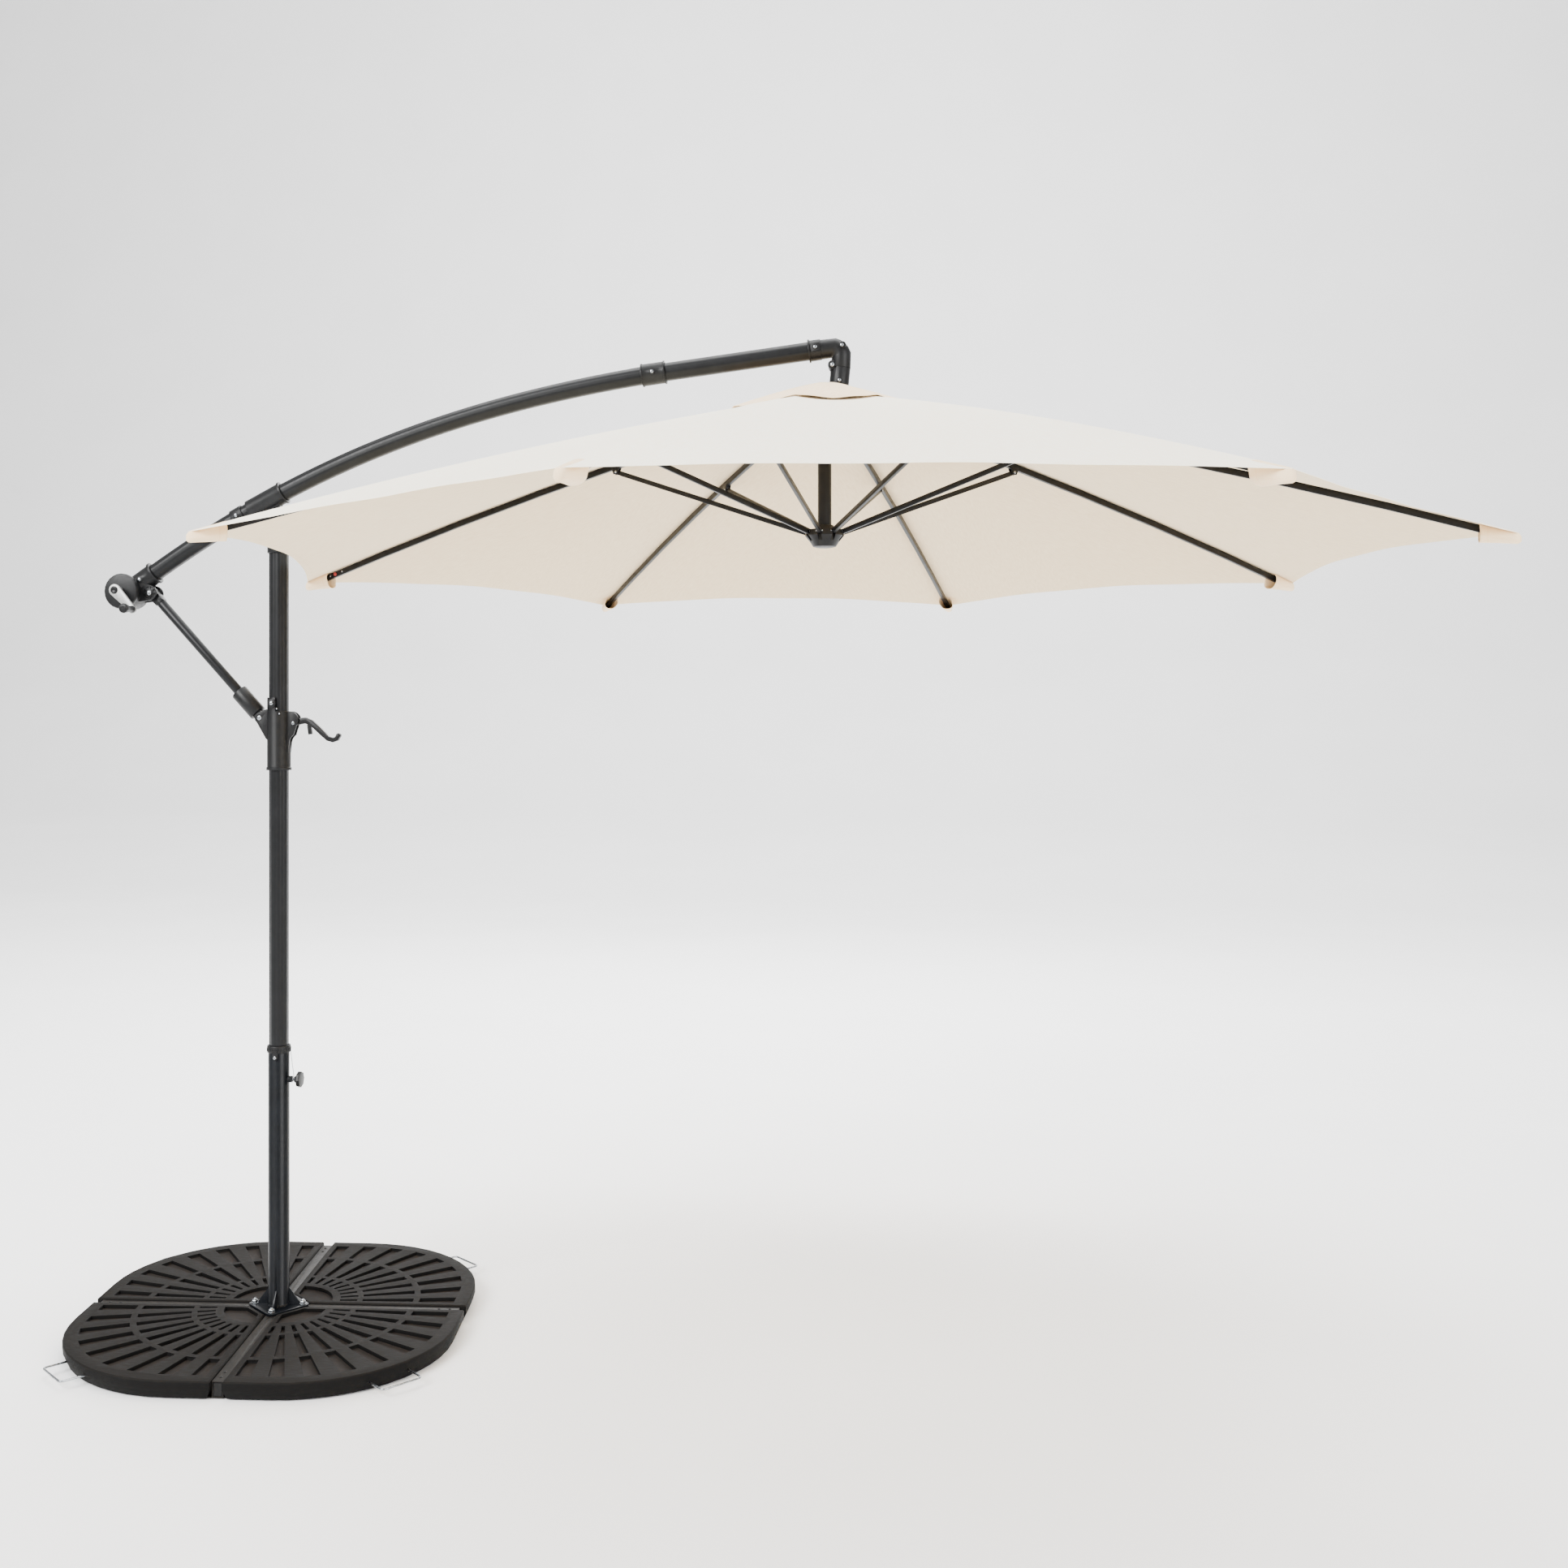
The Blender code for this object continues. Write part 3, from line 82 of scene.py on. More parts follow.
def add(tree: Tree, kind: str, inputs: dict[str | int, Any] | None = None, **settings: Any) -> bpy.types.Node:
    """Add one node, set it up and link it.

    Args:
        tree: the tree that gets the node.
        kind: the node's type name, without the "ShaderNode" in front.
        inputs: socket name or number to a value, or to the output socket that feeds it.
        settings: the node's own properties.

    Returns:
        The new node.
    """
    node = tree.nodes.new("ShaderNode" + kind)
    for name, value in settings.items():
        setattr(node, name, value)
    for name, value in (inputs or {}).items():
        if isinstance(value, bpy.types.NodeSocket):
            tree.links.new(value, node.inputs[name])
        else:
            node.inputs[name].default_value = value
    return node


class Coordinates(Enum):
    """Which coordinates a pattern is laid out in."""

    OBJECT = "Object"
    CUT = "UV"


def start(name: str, **constants: Any) -> tuple[bpy.types.Material, bpy.types.Node]:
    """Begin a material with a Principled shader.

    Args:
        name: the material's name.
        constants: the shader's sockets by name, with underscores for spaces.

    Returns:
        The material and its shader node.
    """
    made = bpy.data.materials.new(name)
    made.use_nodes = True
    shader = made.node_tree.nodes["Principled BSDF"]
    for key, value in constants.items():
        shader.inputs[key.replace("_", " ")].default_value = value
    return made, shader


def stretched(tree: Tree, coordinates: Coordinates, scale: Sequence[float]) -> Socket:
    """Coordinates in metres, multiplied along each axis."""
    place = add(tree, "TexCoord")
    mapped = add(tree, "Mapping", {"Vector": place.outputs[coordinates.value], "Scale": scale})
    return mapped.outputs["Vector"]


def noise(tree: Tree, grain: float, detail: float = 3.0, vector: Socket | None = None) -> Socket:
    """Noise whose features are about `grain` metres across, from its own or the object's coordinates."""
    source = vector or stretched(tree, Coordinates.OBJECT, (1, 1, 1))
    made = add(tree, "TexNoise", {"Vector": source, "Scale": 1 / grain, "Detail": detail, "Roughness": 0.55})
    return made.outputs["Fac"]


def ramp(tree: Tree, value: Socket, stops: Sequence[tuple[float, str]]) -> Socket:
    """A colour ramp of (position, sRGB hex) stops."""
    node = add(tree, "ValToRGB", {"Fac": value})
    elements = node.color_ramp.elements
    while len(elements) < len(stops):
        elements.new(0.5)
    for element, (position, code) in zip(elements, stops):
        element.position = position
        element.color = linear(code)
    return node.outputs["Color"]


def spread(tree: Tree, value: Socket, low: float, high: float) -> Socket:
    """Map a 0.3 to 0.7 pattern onto a range."""
    limits = {"From Min": 0.3, "From Max": 0.7, "To Min": low, "To Max": high}
    sent = add(tree, "MapRange", {"Value": value, **limits})
    return sent.outputs["Result"]


def roughened(tree: Tree, shader: bpy.types.Node, height: Socket, depth: float, strength: float) -> None:
    """Drive a shader's normal with a bump of a real depth in metres."""
    bump = add(tree, "Bump", {"Height": height, "Distance": depth, "Strength": strength})
    tree.links.new(bump.outputs["Normal"], shader.inputs["Normal"])


# ---------------------------------------------------------------- finishes


@dataclass(frozen=True)
class PowderCoat:
    """Polyester powder coat on extruded or rolled tube: satin, with a fine orange peel."""

    name: str
    dark: str
    light: str
    roughness: float = 0.40
    peel: float = 1.4 * MM
    gloss: float = 0.20

    def build(self) -> bpy.types.Material:
        """Make the material: the orange peel breaks up long highlights on the tubes."""
        made, shader = start(self.name, Metallic=0.0, IOR=1.5, Specular_IOR_Level=self.gloss)
        tree = made.node_tree
        tree.links.new(ramp(tree, noise(tree, 45 * MM), ((0.35, self.dark), (0.7, self.light))),
                       shader.inputs["Base Color"])
        tree.links.new(spread(tree, noise(tree, 9 * MM), self.roughness - 0.04, self.roughness + 0.05),
                       shader.inputs["Roughness"])
        roughened(tree, shader, noise(tree, self.peel, 1.0), 0.05 * MM, 0.5)
        return made


@dataclass(frozen=True)
class MouldedNylon:
    """Glass-filled nylon from a spark-eroded mould, with a fine even grain."""

    name: str
    dark: str
    light: str
    roughness: float
    grain: float = 0.9 * MM
    gloss: float = 0.20

    def build(self) -> bpy.types.Material:
        """Make the material: the grain is drawn a little coarser than real so that it shows."""
        made, shader = start(self.name, Metallic=0.0, IOR=1.53, Specular_IOR_Level=self.gloss)
        tree = made.node_tree
        tree.links.new(ramp(tree, noise(tree, 18 * MM), ((0.3, self.dark), (0.75, self.light))),
                       shader.inputs["Base Color"])
        tree.links.new(spread(tree, noise(tree, 6 * MM), self.roughness - 0.06, self.roughness + 0.06),
                       shader.inputs["Roughness"])
        roughened(tree, shader, noise(tree, self.grain, 2.0), 0.04 * MM, 0.6)
        return made


@dataclass(frozen=True)
class WeightedResin:
    """Blow-moulded resin with streaks: brown-black, browner in the pockets, with painted shade darkening
    every steep wall.
    """

    name: str = "blow_moulded_resin"
    floor_height: float = 40.5 * MM
    streak: float = 3.2 * MM
    gloss: float = 0.12

    def build(self) -> bpy.types.Material:
        """Make the material: streaks run one way, the height splits pocket floors from the face, and steep
        walls get painted shade.
        """
        made, shader = start(self.name, Metallic=0.0, IOR=1.48, Specular_IOR_Level=self.gloss)
        tree = made.node_tree
        along = stretched(tree, Coordinates.OBJECT, (0.12, 1.0, 1.0))
        streaks = noise(tree, self.streak, 4.0, along)
        face = ramp(tree, streaks, ((0.32, "090807"), (0.5, "0F0D0B"), (0.72, "181411")))
        floor = ramp(tree, streaks, ((0.3, "120F0E"), (0.7, "221D19")))
        place = add(tree, "TexCoord")
        height = add(tree, "SeparateXYZ", {"Vector": place.outputs["Object"]})
        low = add(tree, "Math", {0: height.outputs["Z"], 1: self.floor_height}, operation="LESS_THAN")
        top = self.mix(tree, low.outputs[0], face, floor)
        # Painted shade: steep faces (pocket walls, plate sides) take a near-black colour standing in for the
        # shadow in the recesses.
        wall = add(tree, "SeparateXYZ", {"Vector": add(tree, "NewGeometry").outputs["Normal"]})
        unshaded_share = add(tree, "MapRange", {"Value": wall.outputs["Z"], "From Min": 0.25, "From Max": 0.8})
        side = ramp(tree, streaks, ((0.3, "050505"), (0.7, "0B0A09")))
        tree.links.new(self.mix(tree, unshaded_share.outputs["Result"], side, top), shader.inputs["Base Color"])
        tree.links.new(spread(tree, streaks, 0.62, 0.80), shader.inputs["Roughness"])
        roughened(tree, shader, noise(tree, 1.1 * MM, 3.0), 0.12 * MM, 0.6)
        return made

    @staticmethod
    def mix(tree: Tree, share: Socket, first: Socket, second: Socket) -> Socket:
        """Blend two colours by a share."""
        node = add(tree, "Mix", data_type="RGBA")
        for socket, number in ((share, 0), (first, 6), (second, 7)):
            tree.links.new(socket, node.inputs[number])
        return node.outputs[2]


@dataclass(frozen=True)
class ZincPlate:
    """Bright zinc on steel: silvery, with soft clouding and fine drawn scratches."""

    name: str = "bright_zinc_plated_steel"
    cloud: float = 4 * MM

    def build(self) -> bpy.types.Material:
        """Make the material: the clouding varies the gloss across each head and wire."""
        made, shader = start(self.name, Metallic=1.0)
        tree = made.node_tree
        clouds = noise(tree, self.cloud, 4.0)
        tree.links.new(ramp(tree, clouds, ((0.3, "74787C"), (0.7, "AEB2B6"))), shader.inputs["Base Color"])
        tree.links.new(spread(tree, clouds, 0.18, 0.32), shader.inputs["Roughness"])
        roughened(tree, shader, noise(tree, 0.5 * MM, 2.0), 0.01 * MM, 0.4)
        return made


@dataclass(frozen=True)
class CastAluminium:
    """Sand-blasted cast aluminium: matt light grey with dark and bright specks."""

    name: str = "blasted_cast_aluminium"
    speck: float = 1.3 * MM

    def build(self) -> bpy.types.Material:
        """Make the material: the specks are the blasting's pits, drawn coarser than real."""
        made, shader = start(self.name, Metallic=0.75)
        tree = made.node_tree
        specks = noise(tree, self.speck, 3.0)
        tree.links.new(ramp(tree, specks, ((0.32, "5C5C5A"), (0.45, "929290"), (0.7, "B8B8B6"))),
                       shader.inputs["Base Color"])
        tree.links.new(spread(tree, specks, 0.38, 0.55), shader.inputs["Roughness"])
        roughened(tree, shader, specks, 0.08 * MM, 0.6)
        return made


@dataclass(frozen=True)
class PlainWeave:
    """Solution-dyed polyester in plain weave: matt, with slubs, and a line of stitches along the hem."""

    name: str
    dark: str
    light: str
    thread: float = 2.6 * MM
    stitch_from_edge: float = 19 * MM
    stitch_half_width: float = 0.9 * MM

    def build(self) -> bpy.types.Material:
        """Make the material: the threads are drawn about four times coarser than real, so that they show."""
        matt = {"Roughness": 0.92, "Sheen_Weight": 0.25, "Sheen_Roughness": 0.5}
        made, shader = start(self.name, Metallic=0.0, IOR=1.45, **matt)
        tree = made.node_tree
        cut = add(tree, "TexCoord").outputs["UV"]
        threads = {"Vector": cut, "Scale": 1 / self.thread / 2, "Distortion": 0.6, "Detail": 1.0}
        warp = add(tree, "TexWave", threads, bands_direction="X")
        weft = add(tree, "TexWave", threads, bands_direction="Y")
        cloth = add(tree, "Math", {0: warp.outputs["Fac"], 1: weft.outputs["Fac"]}, operation="MULTIPLY")
        slubs = noise(tree, 6 * MM, 4.0, stretched(tree, Coordinates.CUT, (1.0, 0.15, 1.0)))
        tone = add(tree, "Math", {0: slubs, 1: 0.75, 2: 0.12}, operation="MULTIPLY_ADD")
        edge = add(tree, "SeparateXYZ", {"Vector": cut})
        apart = add(tree, "Math", {0: edge.outputs["Y"], 1: self.stitch_from_edge}, operation="SUBTRACT")
        near = add(tree, "Math", {0: apart.outputs[0]}, operation="ABSOLUTE")
        stitch = add(tree, "Math", {0: near.outputs[0], 1: self.stitch_half_width}, operation="LESS_THAN")
        darker = add(tree, "Math", {0: stitch.outputs[0], 1: -0.16, 2: tone.outputs[0]},
                     operation="MULTIPLY_ADD")
        tree.links.new(ramp(tree, darker.outputs[0], ((0.2, self.dark), (0.65, self.light))),
                       shader.inputs["Base Color"])
        sunk = add(tree, "Math", {0: stitch.outputs[0], 1: -1.5, 2: cloth.outputs[0]},
                   operation="MULTIPLY_ADD")
        roughened(tree, shader, sunk.outputs[0], 0.10 * MM, 0.35)
        return made


@dataclass(frozen=True)
class GlossPlastic:
    """Small press-button cap in polished moulded plastic."""

    name: str
    dark: str
    light: str

    def build(self) -> bpy.types.Material:
        """Make the material: a faint cloud in the colour and a soft gloss."""
        made, shader = start(self.name, Metallic=0.0, IOR=1.49)
        tree = made.node_tree
        tree.links.new(ramp(tree, noise(tree, 4 * MM), ((0.2, self.dark), (0.9, self.light))),
                       shader.inputs["Base Color"])
        tree.links.new(spread(tree, noise(tree, 2 * MM), 0.22, 0.34), shader.inputs["Roughness"])
        return made


class Finish(Enum):
    """Every finish on the umbrella."""

    FRAME = PowderCoat("anthracite_powder_coat", "08090A", "0E0F11", 0.38)
    POLE = PowderCoat("anthracite_pole_coat", "06080B", "0C0F14", 0.34)
    LEG = PowderCoat("brown_grey_steel_paint", "14120F", "211E1B", 0.50)
    NYLON = MouldedNylon("black_glass_filled_nylon", "0A0A0B", "121314", 0.42)
    GRIP = MouldedNylon("black_grip_nylon", "080809", "0F0F10", 0.36)
    RESIN = WeightedResin()
    ZINC = ZincPlate()
    CAST = CastAluminium()
    IVORY = PlainWeave("ivory_polyester_face", "FCEFD2", "FFF9E8")
    # Painted light and shade: the underside is the same ivory cloth, drawn a darker warm beige that stands in
    # for the shade beneath the canopy and the daylight glowing through it.
    PAINTED_UNDERSIDE_SHADE_AND_GLOW = PlainWeave("ivory_polyester_underside_shade_and_glow", "D8BD90", "E8D1AA")
    PEACH = PlainWeave("cream_polyester_doubled", "F2CD9C", "FCE2BA")
    BUTTON = GlossPlastic("dark_red_button", "7A1618", "A82A2A")


PALETTE: dict[Finish, bpy.types.Material] = {}


def finish(choice: Finish) -> bpy.types.Material:
    """The material of a finish, made the first time it is asked for."""
    if choice not in PALETTE:
        PALETTE[choice] = choice.value.build()
    return PALETTE[choice]


# ---------------------------------------------------------------- mesh helpers


def make(name: str, points: Iterable[Sequence[float]], faces: Iterable[Sequence[int]], body: str,
         *finishes: Finish, sharp: float = 35.0) -> bpy.types.Object:
    """Turn points and faces into a smooth-shaded piece that rides on a body.

    Args:
        name: the piece's name.
        points: the vertices, in metres.
        faces: the corner numbers of each face.
        body: the CAD body that it rides on.
        finishes: its material slots.
        sharp: edges over this many degrees stay sharp.

    Returns:
        The new object.
    """
    mesh = bpy.data.meshes.new(name)
    mesh.from_pydata([tuple(p) for p in points], [], [tuple(f) for f in faces])
    bm = bmesh.new()
    bm.from_mesh(mesh)
    bmesh.ops.recalc_face_normals(bm, faces=bm.faces[:])
    bm.to_mesh(mesh)
    bm.free()
    mesh.shade_smooth()
    mesh.set_sharp_from_angle(angle=radians(sharp))
    for choice in finishes:
        mesh.materials.append(finish(choice))
    obj = bpy.data.objects.new(name, mesh)
    bpy.context.scene.collection.objects.link(obj)
    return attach(obj, body)


@dataclass
class Shape:
    """Points and faces that several small solids are gathered in."""

    points: list[Vector]
    faces: list[list[int]]

    @classmethod
    def empty(cls) -> "Shape":
        """A shape with nothing in it."""
        return cls([], [])

    def lathe(self, profile: Sequence[Point], sides: int, at: Vector, axis: Vector,
              radius_of: Callable[[float, float], float] | None = None) -> None:
        """Add a solid of revolution.

        Args:
            profile: (radius, height) points from one end to the other.
            sides: how many steps round.
            at: the profile's zero height.
            axis: the direction of height.
            radius_of: gives a share of the radius from the angle and the height, for hexagons and lobes.
        """
        turn = Matrix.Translation(at) @ axis.normalized().to_track_quat("Z", "Y").to_matrix().to_4x4()
        first = len(self.points)
        for r, h in profile:
            for i in range(sides):
                a = 2 * pi * i / sides
                reach = max(r, 1e-6) * (radius_of(a, h) if radius_of else 1.0)
                self.points.append(turn @ Vector((reach * cos(a), reach * sin(a), h)))
        for row in range(len(profile) - 1):
            low = first + row * sides
            for i in range(sides):
                j = (i + 1) % sides
                self.faces.append([low + i, low + j, low + sides + j, low + sides + i])
        self.faces.append([first + i for i in range(sides)][::-1])
        last = first + (len(profile) - 1) * sides
        self.faces.append([last + i for i in range(sides)])

    def sweep(self, path: Sequence[Vector], outline: Sequence[Point], side: Vector) -> None:
        """Add a solid that follows a path.

        Args:
            path: the centre line.
            outline: the (across, up) section.
            side: the direction of across; up is square to it and to the path.
        """
        first, last, size = len(self.points), len(path) - 1, len(outline)
        for i, at in enumerate(path):
            up = (path[min(i + 1, last)] - path[max(i - 1, 0)]).cross(side).normalized()
            self.points += [at + side * x + up * y for x, y in outline]
        for i in range(last):
            low, high = first + i * size, first + (i + 1) * size
            self.faces += [[low + k, low + (k + 1) % size, high + (k + 1) % size, high + k]
                           for k in range(size)]
        self.faces.append([first + k for k in range(size)][::-1])
        self.faces.append([first + last * size + k for k in range(size)])

    def box(self, size: Vector, at: Vector, turn: Matrix, ease: float) -> None:
        """Add a box with its upright edges and its rim eased by `ease` metres."""
        x, y, z = size / 2
        rim = [(x - ease, y), (x, y - ease), (x, -y + ease), (x - ease, -y),
               (-x + ease, -y), (-x, -y + ease), (-x, y - ease), (-x + ease, y)]
        first = len(self.points)
        for height, pull in ((-z, 1.0), (z - ease, 1.0), (z, 1 - ease / max(x, y))):
            self.points += [at + turn @ Vector((px * pull, py * pull, height)) for px, py in rim]
        for row in range(2):
            low = first + row * 8
            self.faces += [[low + i, low + (i + 1) % 8, low + 8 + (i + 1) % 8, low + 8 + i] for i in range(8)]
        self.faces.append([first + i for i in range(8)][::-1])
        self.faces.append([first + 16 + i for i in range(8)])

    def piece(self, name: str, body: str, *finishes: Finish, sharp: float = 35.0) -> bpy.types.Object:
        """Turn what was gathered into a piece."""
        return make(name, self.points, self.faces, body, *finishes, sharp=sharp)


def round_section(radius: float, sides: int, groove: float = 0.0, lobes: int = 1,
                  phase: float = 0.0) -> list[Point]:
    """A round outline with `lobes` shallow flutes, each `groove` metres deep."""
    made = []
    for i in range(sides):
        a = 2 * pi * i / sides
        r = radius - groove * abs(sin((a + phase) * lobes / 2)) ** 3
        made.append((r * cos(a), r * sin(a)))
    return made


def socket_screw(shape: Shape, at: Vector, axis: Vector, radius: float, height: float) -> None:
    """Add a domed screw head with a round drive recess, seated at a point."""
    shape.lathe([(radius, 0), (radius, height * 0.35), (radius * 0.82, height * 0.8), (radius * 0.5, height),
                 (radius * 0.36, height), (radius * 0.33, height * 0.45), (0, height * 0.4)], 24, at, axis)


def hexagon(angle: float, _height: float) -> float:
    """Share of the corner radius that a hexagon has at an angle."""
    return cos(pi / 6) / cos((angle % (pi / 3)) - pi / 6)


# ---------------------------------------------------------------- CAD pieces' finishes


@dataclass
class CadFinishes:
    """Gives each CAD piece its finish, smooth shading and eased edges."""

    ease: float = 0.5 * MM
    plate_ease: float = 1.4 * MM

    def choice(self, node: str) -> Finish:
        """The finish of a CAD node, by its name."""
        groups = {
            Finish.RESIN: ("weight_plate",),
            Finish.LEG: ("base_cross",),
            Finish.POLE: ("lower_pole",),
            Finish.ZINC: ("plate_handle", "lock_screw", "knob_tether", "arm_pivot_bolt", "strut_base_bolt",
                          "strut_top_bolt", "tilt_hinge_bolt"),
            Finish.CAST: ("crank_arm",),
            Finish.GRIP: ("crank_grip", "lock_knob", "lock_lever"),
            Finish.FRAME: ("mast_tube", "strut_tube", "arm_rear_tube", "arm_front_tube", "canopy_post",
                           "runner_tube", "rib_", *(f"strut_{k + 1}" for k in range(8))),
            Finish.IVORY: ("canopy", "vent_cap"),
        }
        for found, starts in groups.items():
            if node.startswith(starts):
                return found
        return Finish.NYLON

    def dress(self) -> int:
        """Dress every CAD node.

        Returns:
            How many were dressed.
        """
        for name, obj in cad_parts.items():
            obj.data.materials.clear()
            obj.data.materials.append(finish(self.choice(name)))
            obj.data.shade_smooth()
            weld = obj.modifiers.new("weld", "WELD")
            weld.merge_threshold = 0.02 * MM
            eased = obj.modifiers.new("eased_edges", "BEVEL")
            eased.width = self.plate_ease if name.startswith("weight_plate") else self.ease
            eased.segments = 2
            eased.limit_method = "ANGLE"
            eased.angle_limit = radians(40)
            eased.use_clamp_overlap = True
            split = obj.modifiers.new("edges", "EDGE_SPLIT")
            split.split_angle = radians(38)
        return len(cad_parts)


# ---------------------------------------------------------------- base and mast


@dataclass
class BaseDetails:
    """Foot bolts with washers and nuts, plugs and screws at the legs' ends."""

    turn: float = radians(5.75)
    bolt_circle: float = 0.063
    flange_top: float = 0.0465
    leg_end: float = 0.470
    leg_top: float = 0.040
    leg_half: float = 0.0135

    def directions(self) -> list[Vector]:
        """The four legs' directions."""
        return [Vector((cos(self.turn + q * pi / 2), sin(self.turn + q * pi / 2), 0)) for q in range(4)]

    def build(self) -> None:
        """Make the bolts, the plugs and the screws."""
        bolts, plugs, screws = Shape.empty(), Shape.empty(), Shape.empty()
        for q, way in enumerate(self.directions()):
            seat = way * self.bolt_circle + UP * self.flange_top
            bolts.lathe([(0.0088, 0), (0.0090, 0.0004), (0.0090, 0.0013), (0.0085, 0.0016)], 28, seat, UP)
            nut = [(0.0070, 0.0016), (0.0078, 0.0022), (0.0078, 0.0066), (0.0070, 0.0076)]
            bolts.lathe(nut, 24, seat, UP, hexagon)
            shank = [(0.0038, -0.016), (0.0039, 0.0076), (0.0039, 0.0105), (0.0030, 0.0118)]
            bolts.lathe(shank, 18, seat, UP)
            bolts.lathe([(0.0066, 0.0078), (0.0050, 0.0096), (0.0036, 0.0098)], 24, seat, UP)
            turned = Matrix.Rotation(self.turn + q * pi / 2, 3, "Z")
            wide = 2 * self.leg_half - 0.0046
            middle = way * (self.leg_end - 0.0024) + UP * 0.0215
            plugs.box(Vector((0.006, wide, 0.030)), middle, turned, 0.0012)
            for back in (0.024, 0.052):
                socket_screw(screws, way * (self.leg_end - back) + UP * self.leg_top, UP, 0.0036, 0.0016)
        bolts.piece("foot_bolts", "base", Finish.ZINC)
        plugs.piece("leg_end_plugs", "base", Finish.NYLON)
        screws.piece("leg_screws", "base", Finish.NYLON)


@dataclass
class MastDetails:
    """Fluted upper mast in full detail, the collar's grip ribs, and the screws on the mast's fittings."""

    radius: float = 0.0249
    bore: float = 0.0226
    bottom: float = 0.46
    top: float = 2.035
    flutes: int = 8
    flute_depth: float = 1.15 * MM
    grip_ribs: int = 28
    grip_radius: float = 0.0304
    grip_height: float = 0.7045

    def build(self) -> None:
        """Make the mast and the fittings' details."""
        outer = round_section(self.radius, 160, self.flute_depth, self.flutes, radians(20))
        inner = round_section(self.bore, 160)
        count = len(outer)
        rings = ((outer, self.bottom), (outer, self.top), (inner, self.top), (inner, self.bottom))
        points = [Vector((x, y, z)) for ring, z in rings for x, y in ring]
        faces = [[a * count + i, a * count + (i + 1) % count, b * count + (i + 1) % count, b * count + i]
                 for a, b in ((0, 1), (1, 2), (2, 3), (3, 0)) for i in range(count)]
        mast = make("mast_fluted_tube", points, faces, "mast", Finish.FRAME, sharp=50)
        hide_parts("mast_tube")

        ribs = Shape.empty()
        for i in range(self.grip_ribs):
            a = 2 * pi * i / self.grip_ribs
            turn = Matrix.Rotation(a, 3, "Z")
            at = Vector((self.grip_radius * cos(a), self.grip_radius * sin(a), self.grip_height))
            ribs.box(Vector((0.0012, 0.0030, 0.0085)), at, turn, 0.0004)
        ribs.piece("collar_grip_ribs", "base", Finish.NYLON)

        on_pole = Shape.empty()
        socket_screw(on_pole, Vector((0.002, -0.0324, 0.687)), TO_CRANK_SIDE, 0.0044, 0.0030)
        on_pole.piece("collar_screw", "base", Finish.ZINC)

        on_slider = Shape.empty()
        socket_screw(on_slider, Vector((-0.007, -0.0324, 1.597)), TO_CRANK_SIDE, 0.0052, 0.0034)
        for x, z in ((0.006, 1.583), (0.0135, 1.570)):
            socket_screw(on_slider, Vector((x, -0.0300, z)), TO_CRANK_SIDE, 0.0020, 0.0014)
        for side in (-1, 1):
            at = Vector((0.043, side * 0.0106, 1.546))
            socket_screw(on_slider, at, Vector((0, side, 0)), 0.0048, 0.0030)
        on_slider.piece("slider_screws", "slider", Finish.ZINC)


# ---------------------------------------------------------------- arm


@dataclass
class ArmDetails:
    """The bent and straight arm tubes in full detail, with the screws on the arm's fittings."""

    radius: float = 0.0225
    groove: float = 0.55 * MM
    tail: Vector = field(default_factory=lambda: Vector((-0.365, 0, 1.9242)))
    joint: Vector = field(default_factory=lambda: Vector((0.982, 0, 2.4147)))
    tail_angle: float = radians(33.8)
    joint_angle: float = radians(7.3)
    tail_handle: float = 0.52
    joint_handle: float = 0.515
    front_angle: float = radians(6.2)
    front_gap: float = 0.001
    front_length: float = 0.423
    steps: int = 72
    sides: int = 64

    def point(self, t: float) -> Vector:
        """A point on the bent tube's axis, from its tail (0) to its coupling (1)."""
        lead = self.tail + Vector((cos(self.tail_angle), 0, sin(self.tail_angle))) * self.tail_handle
        trail = self.joint - Vector((cos(self.joint_angle), 0, sin(self.joint_angle))) * self.joint_handle
        s = 1 - t
        return self.tail * s ** 3 + lead * 3 * s * s * t + trail * 3 * s * t * t + self.joint * t ** 3

    def tube(self, name: str, path: Sequence[Vector], node: str) -> None:
        """Make one grooved tube in place of a CAD node. Its ends are closed: both sit inside fittings."""
        shape = Shape.empty()
        outer = round_section(self.radius, self.sides, self.groove, 8, radians(22.5))
        shape.sweep(path, outer, Vector((0, 1, 0)))
        made = shape.piece(name, "arm", Finish.FRAME, sharp=50)
        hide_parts(node)

    def build(self) -> None:
        """Make the tubes and the screws."""
        bend = [self.point(i / self.steps) for i in range(self.steps + 1)]
        self.tube("arm_bent_tube", bend, "arm_rear_tube")
        forward = Vector((cos(self.front_angle), 0, sin(self.front_angle)))
        line = [self.joint + forward * (self.front_gap + self.front_length * i / 4) for i in range(5)]
        self.tube("arm_straight_tube", line, "arm_front_tube")
        screws = Shape.empty()
        sites = ((-0.1060, -0.0274, 2.0822, 0.0048), (0.982, -0.0281, 2.4147, 0.0048),
                 (-0.3716, -0.0279, 1.9200, 0.0052), (1.3836, -0.0274, 2.4603, 0.0048),
                 (1.4485, -0.0261, 2.4630, 0.0046))
        for x, y, z, radius in sites:
            socket_screw(screws, Vector((x, y, z)), TO_CRANK_SIDE, radius, 0.0032)
        socket_screw(screws, Vector((0, -0.0252, 2.080)), TO_CRANK_SIDE, 0.0062, 0.0024)
        screws.piece("arm_screws", "arm", Finish.ZINC)


